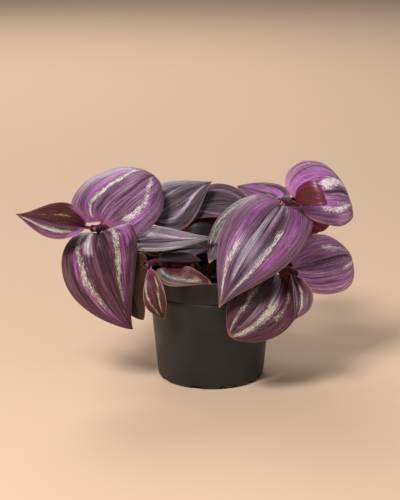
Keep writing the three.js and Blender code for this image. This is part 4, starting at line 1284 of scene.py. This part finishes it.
def look_of(name):
    look = dict(PLAIN)
    if name not in LOOKS:
        draw = np.random.default_rng(list(LEAVES).index(name) + 500)
        wine, pink, green = draw.uniform(0, 0.5), draw.uniform(0, 0.5), draw.uniform(0, 0.4)
        look.update(wine=both(wine), pink=both(pink), green=both(green))
        look.update(plain_stripes(draw.uniform(0.7, 1.1)))
    look.update(LOOKS.get(name, {}))
    return look


# ---------------------------------------------------------------- stage


def make_stage():
    floor_shader = Shader("floor_plain", 0.9, 0.1)
    floor_shader.bsdf.inputs["Base Color"].default_value = srgb(200, 172, 147)
    mesh = bpy.data.meshes.new("stage_floor")
    reach = 6.0
    corners = [(x * reach, y * reach, 0) for x, y in ((-1, -1), (1, -1), (1, 1), (-1, 1))]
    mesh.from_pydata(corners, [], [(0, 1, 2, 3)])
    mesh.materials.append(floor_shader.material)
    floor = bpy.data.objects.new("stage_floor", mesh)
    bpy.context.scene.collection.objects.link(floor)
    world = bpy.data.worlds.new("soft_surround")
    world.use_nodes = True
    tree = world.node_tree
    light = tree.nodes["Background"]
    light.inputs["Color"].default_value = srgb(236, 236, 240)
    light.inputs["Strength"].default_value = 0.22
    seen = tree.nodes.new("ShaderNodeBackground")
    seen.inputs["Color"].default_value = srgb(216, 184, 156)
    choose, ray = tree.nodes.new("ShaderNodeMixShader"), tree.nodes.new("ShaderNodeLightPath")
    tree.links.new(ray.outputs["Is Camera Ray"], choose.inputs[0])
    tree.links.new(light.outputs[0], choose.inputs[1])
    tree.links.new(seen.outputs[0], choose.inputs[2])
    tree.links.new(choose.outputs[0], tree.nodes["World Output"].inputs[0])
    bpy.context.scene.world = world
    for name, place, size, power, colour in [
        ("key", (-0.5, -0.9, 1.15), 0.4, 26, (1.0, 0.98, 0.95)),
        ("fill", (0.95, -0.9, 0.65), 0.9, 3, (0.96, 0.97, 1.0)),
        ("back", (-0.5, 1.7, 1.5), 1.2, 34, (1.0, 0.98, 0.96)),
    ]:
        data = bpy.data.lights.new(name, "AREA")
        data.size, data.energy, data.color = size, power, colour
        lamp = bpy.data.objects.new(name, data)
        lamp.location = place
        lamp.rotation_mode = "QUATERNION"
        lamp.rotation_quaternion = (Vector((0, 0, 0.08)) - lamp.location).to_track_quat("-Z", "Y")
        bpy.context.scene.collection.objects.link(lamp)


CAMERA_ELEVATION = math.radians(15)
CAMERA_DISTANCE = 1.1
CAMERA_TARGET = Vector((-0.0077, 0, 0.0908))


def make_camera():
    data = bpy.data.cameras.new("camera")
    data.sensor_width, data.lens = 36, 112.64
    camera = bpy.data.objects.new("camera", data)
    back = Vector((0, -math.cos(CAMERA_ELEVATION), math.sin(CAMERA_ELEVATION)))
    camera.location = CAMERA_TARGET + back * CAMERA_DISTANCE
    camera.rotation_mode = "QUATERNION"
    camera.rotation_quaternion = (-back).to_track_quat("-Z", "Y")
    bpy.context.scene.collection.objects.link(camera)
    bpy.context.scene.camera = camera


# ---------------------------------------------------------------- the scene

bpy.context.scene.view_settings.view_transform = "Standard"
make_camera()
stems = {name: Stem(name) for name in STEMS}
leaf_materials = [leaf_top_material(), leaf_under_material()]
for name in LEAVES:
    make_leaf(name, look_of(name), leaf_materials)
stem_skin = stem_material()
for name in STEMS:
    make_stem(name, stem_skin)
make_pot(pot_material())
peat = soil_material("soil_peat", (34, 24, 18), (64, 46, 34))
bark = soil_material("soil_bark", (58, 40, 28), (104, 76, 52))
make_soil([peat, bark])
make_stage()
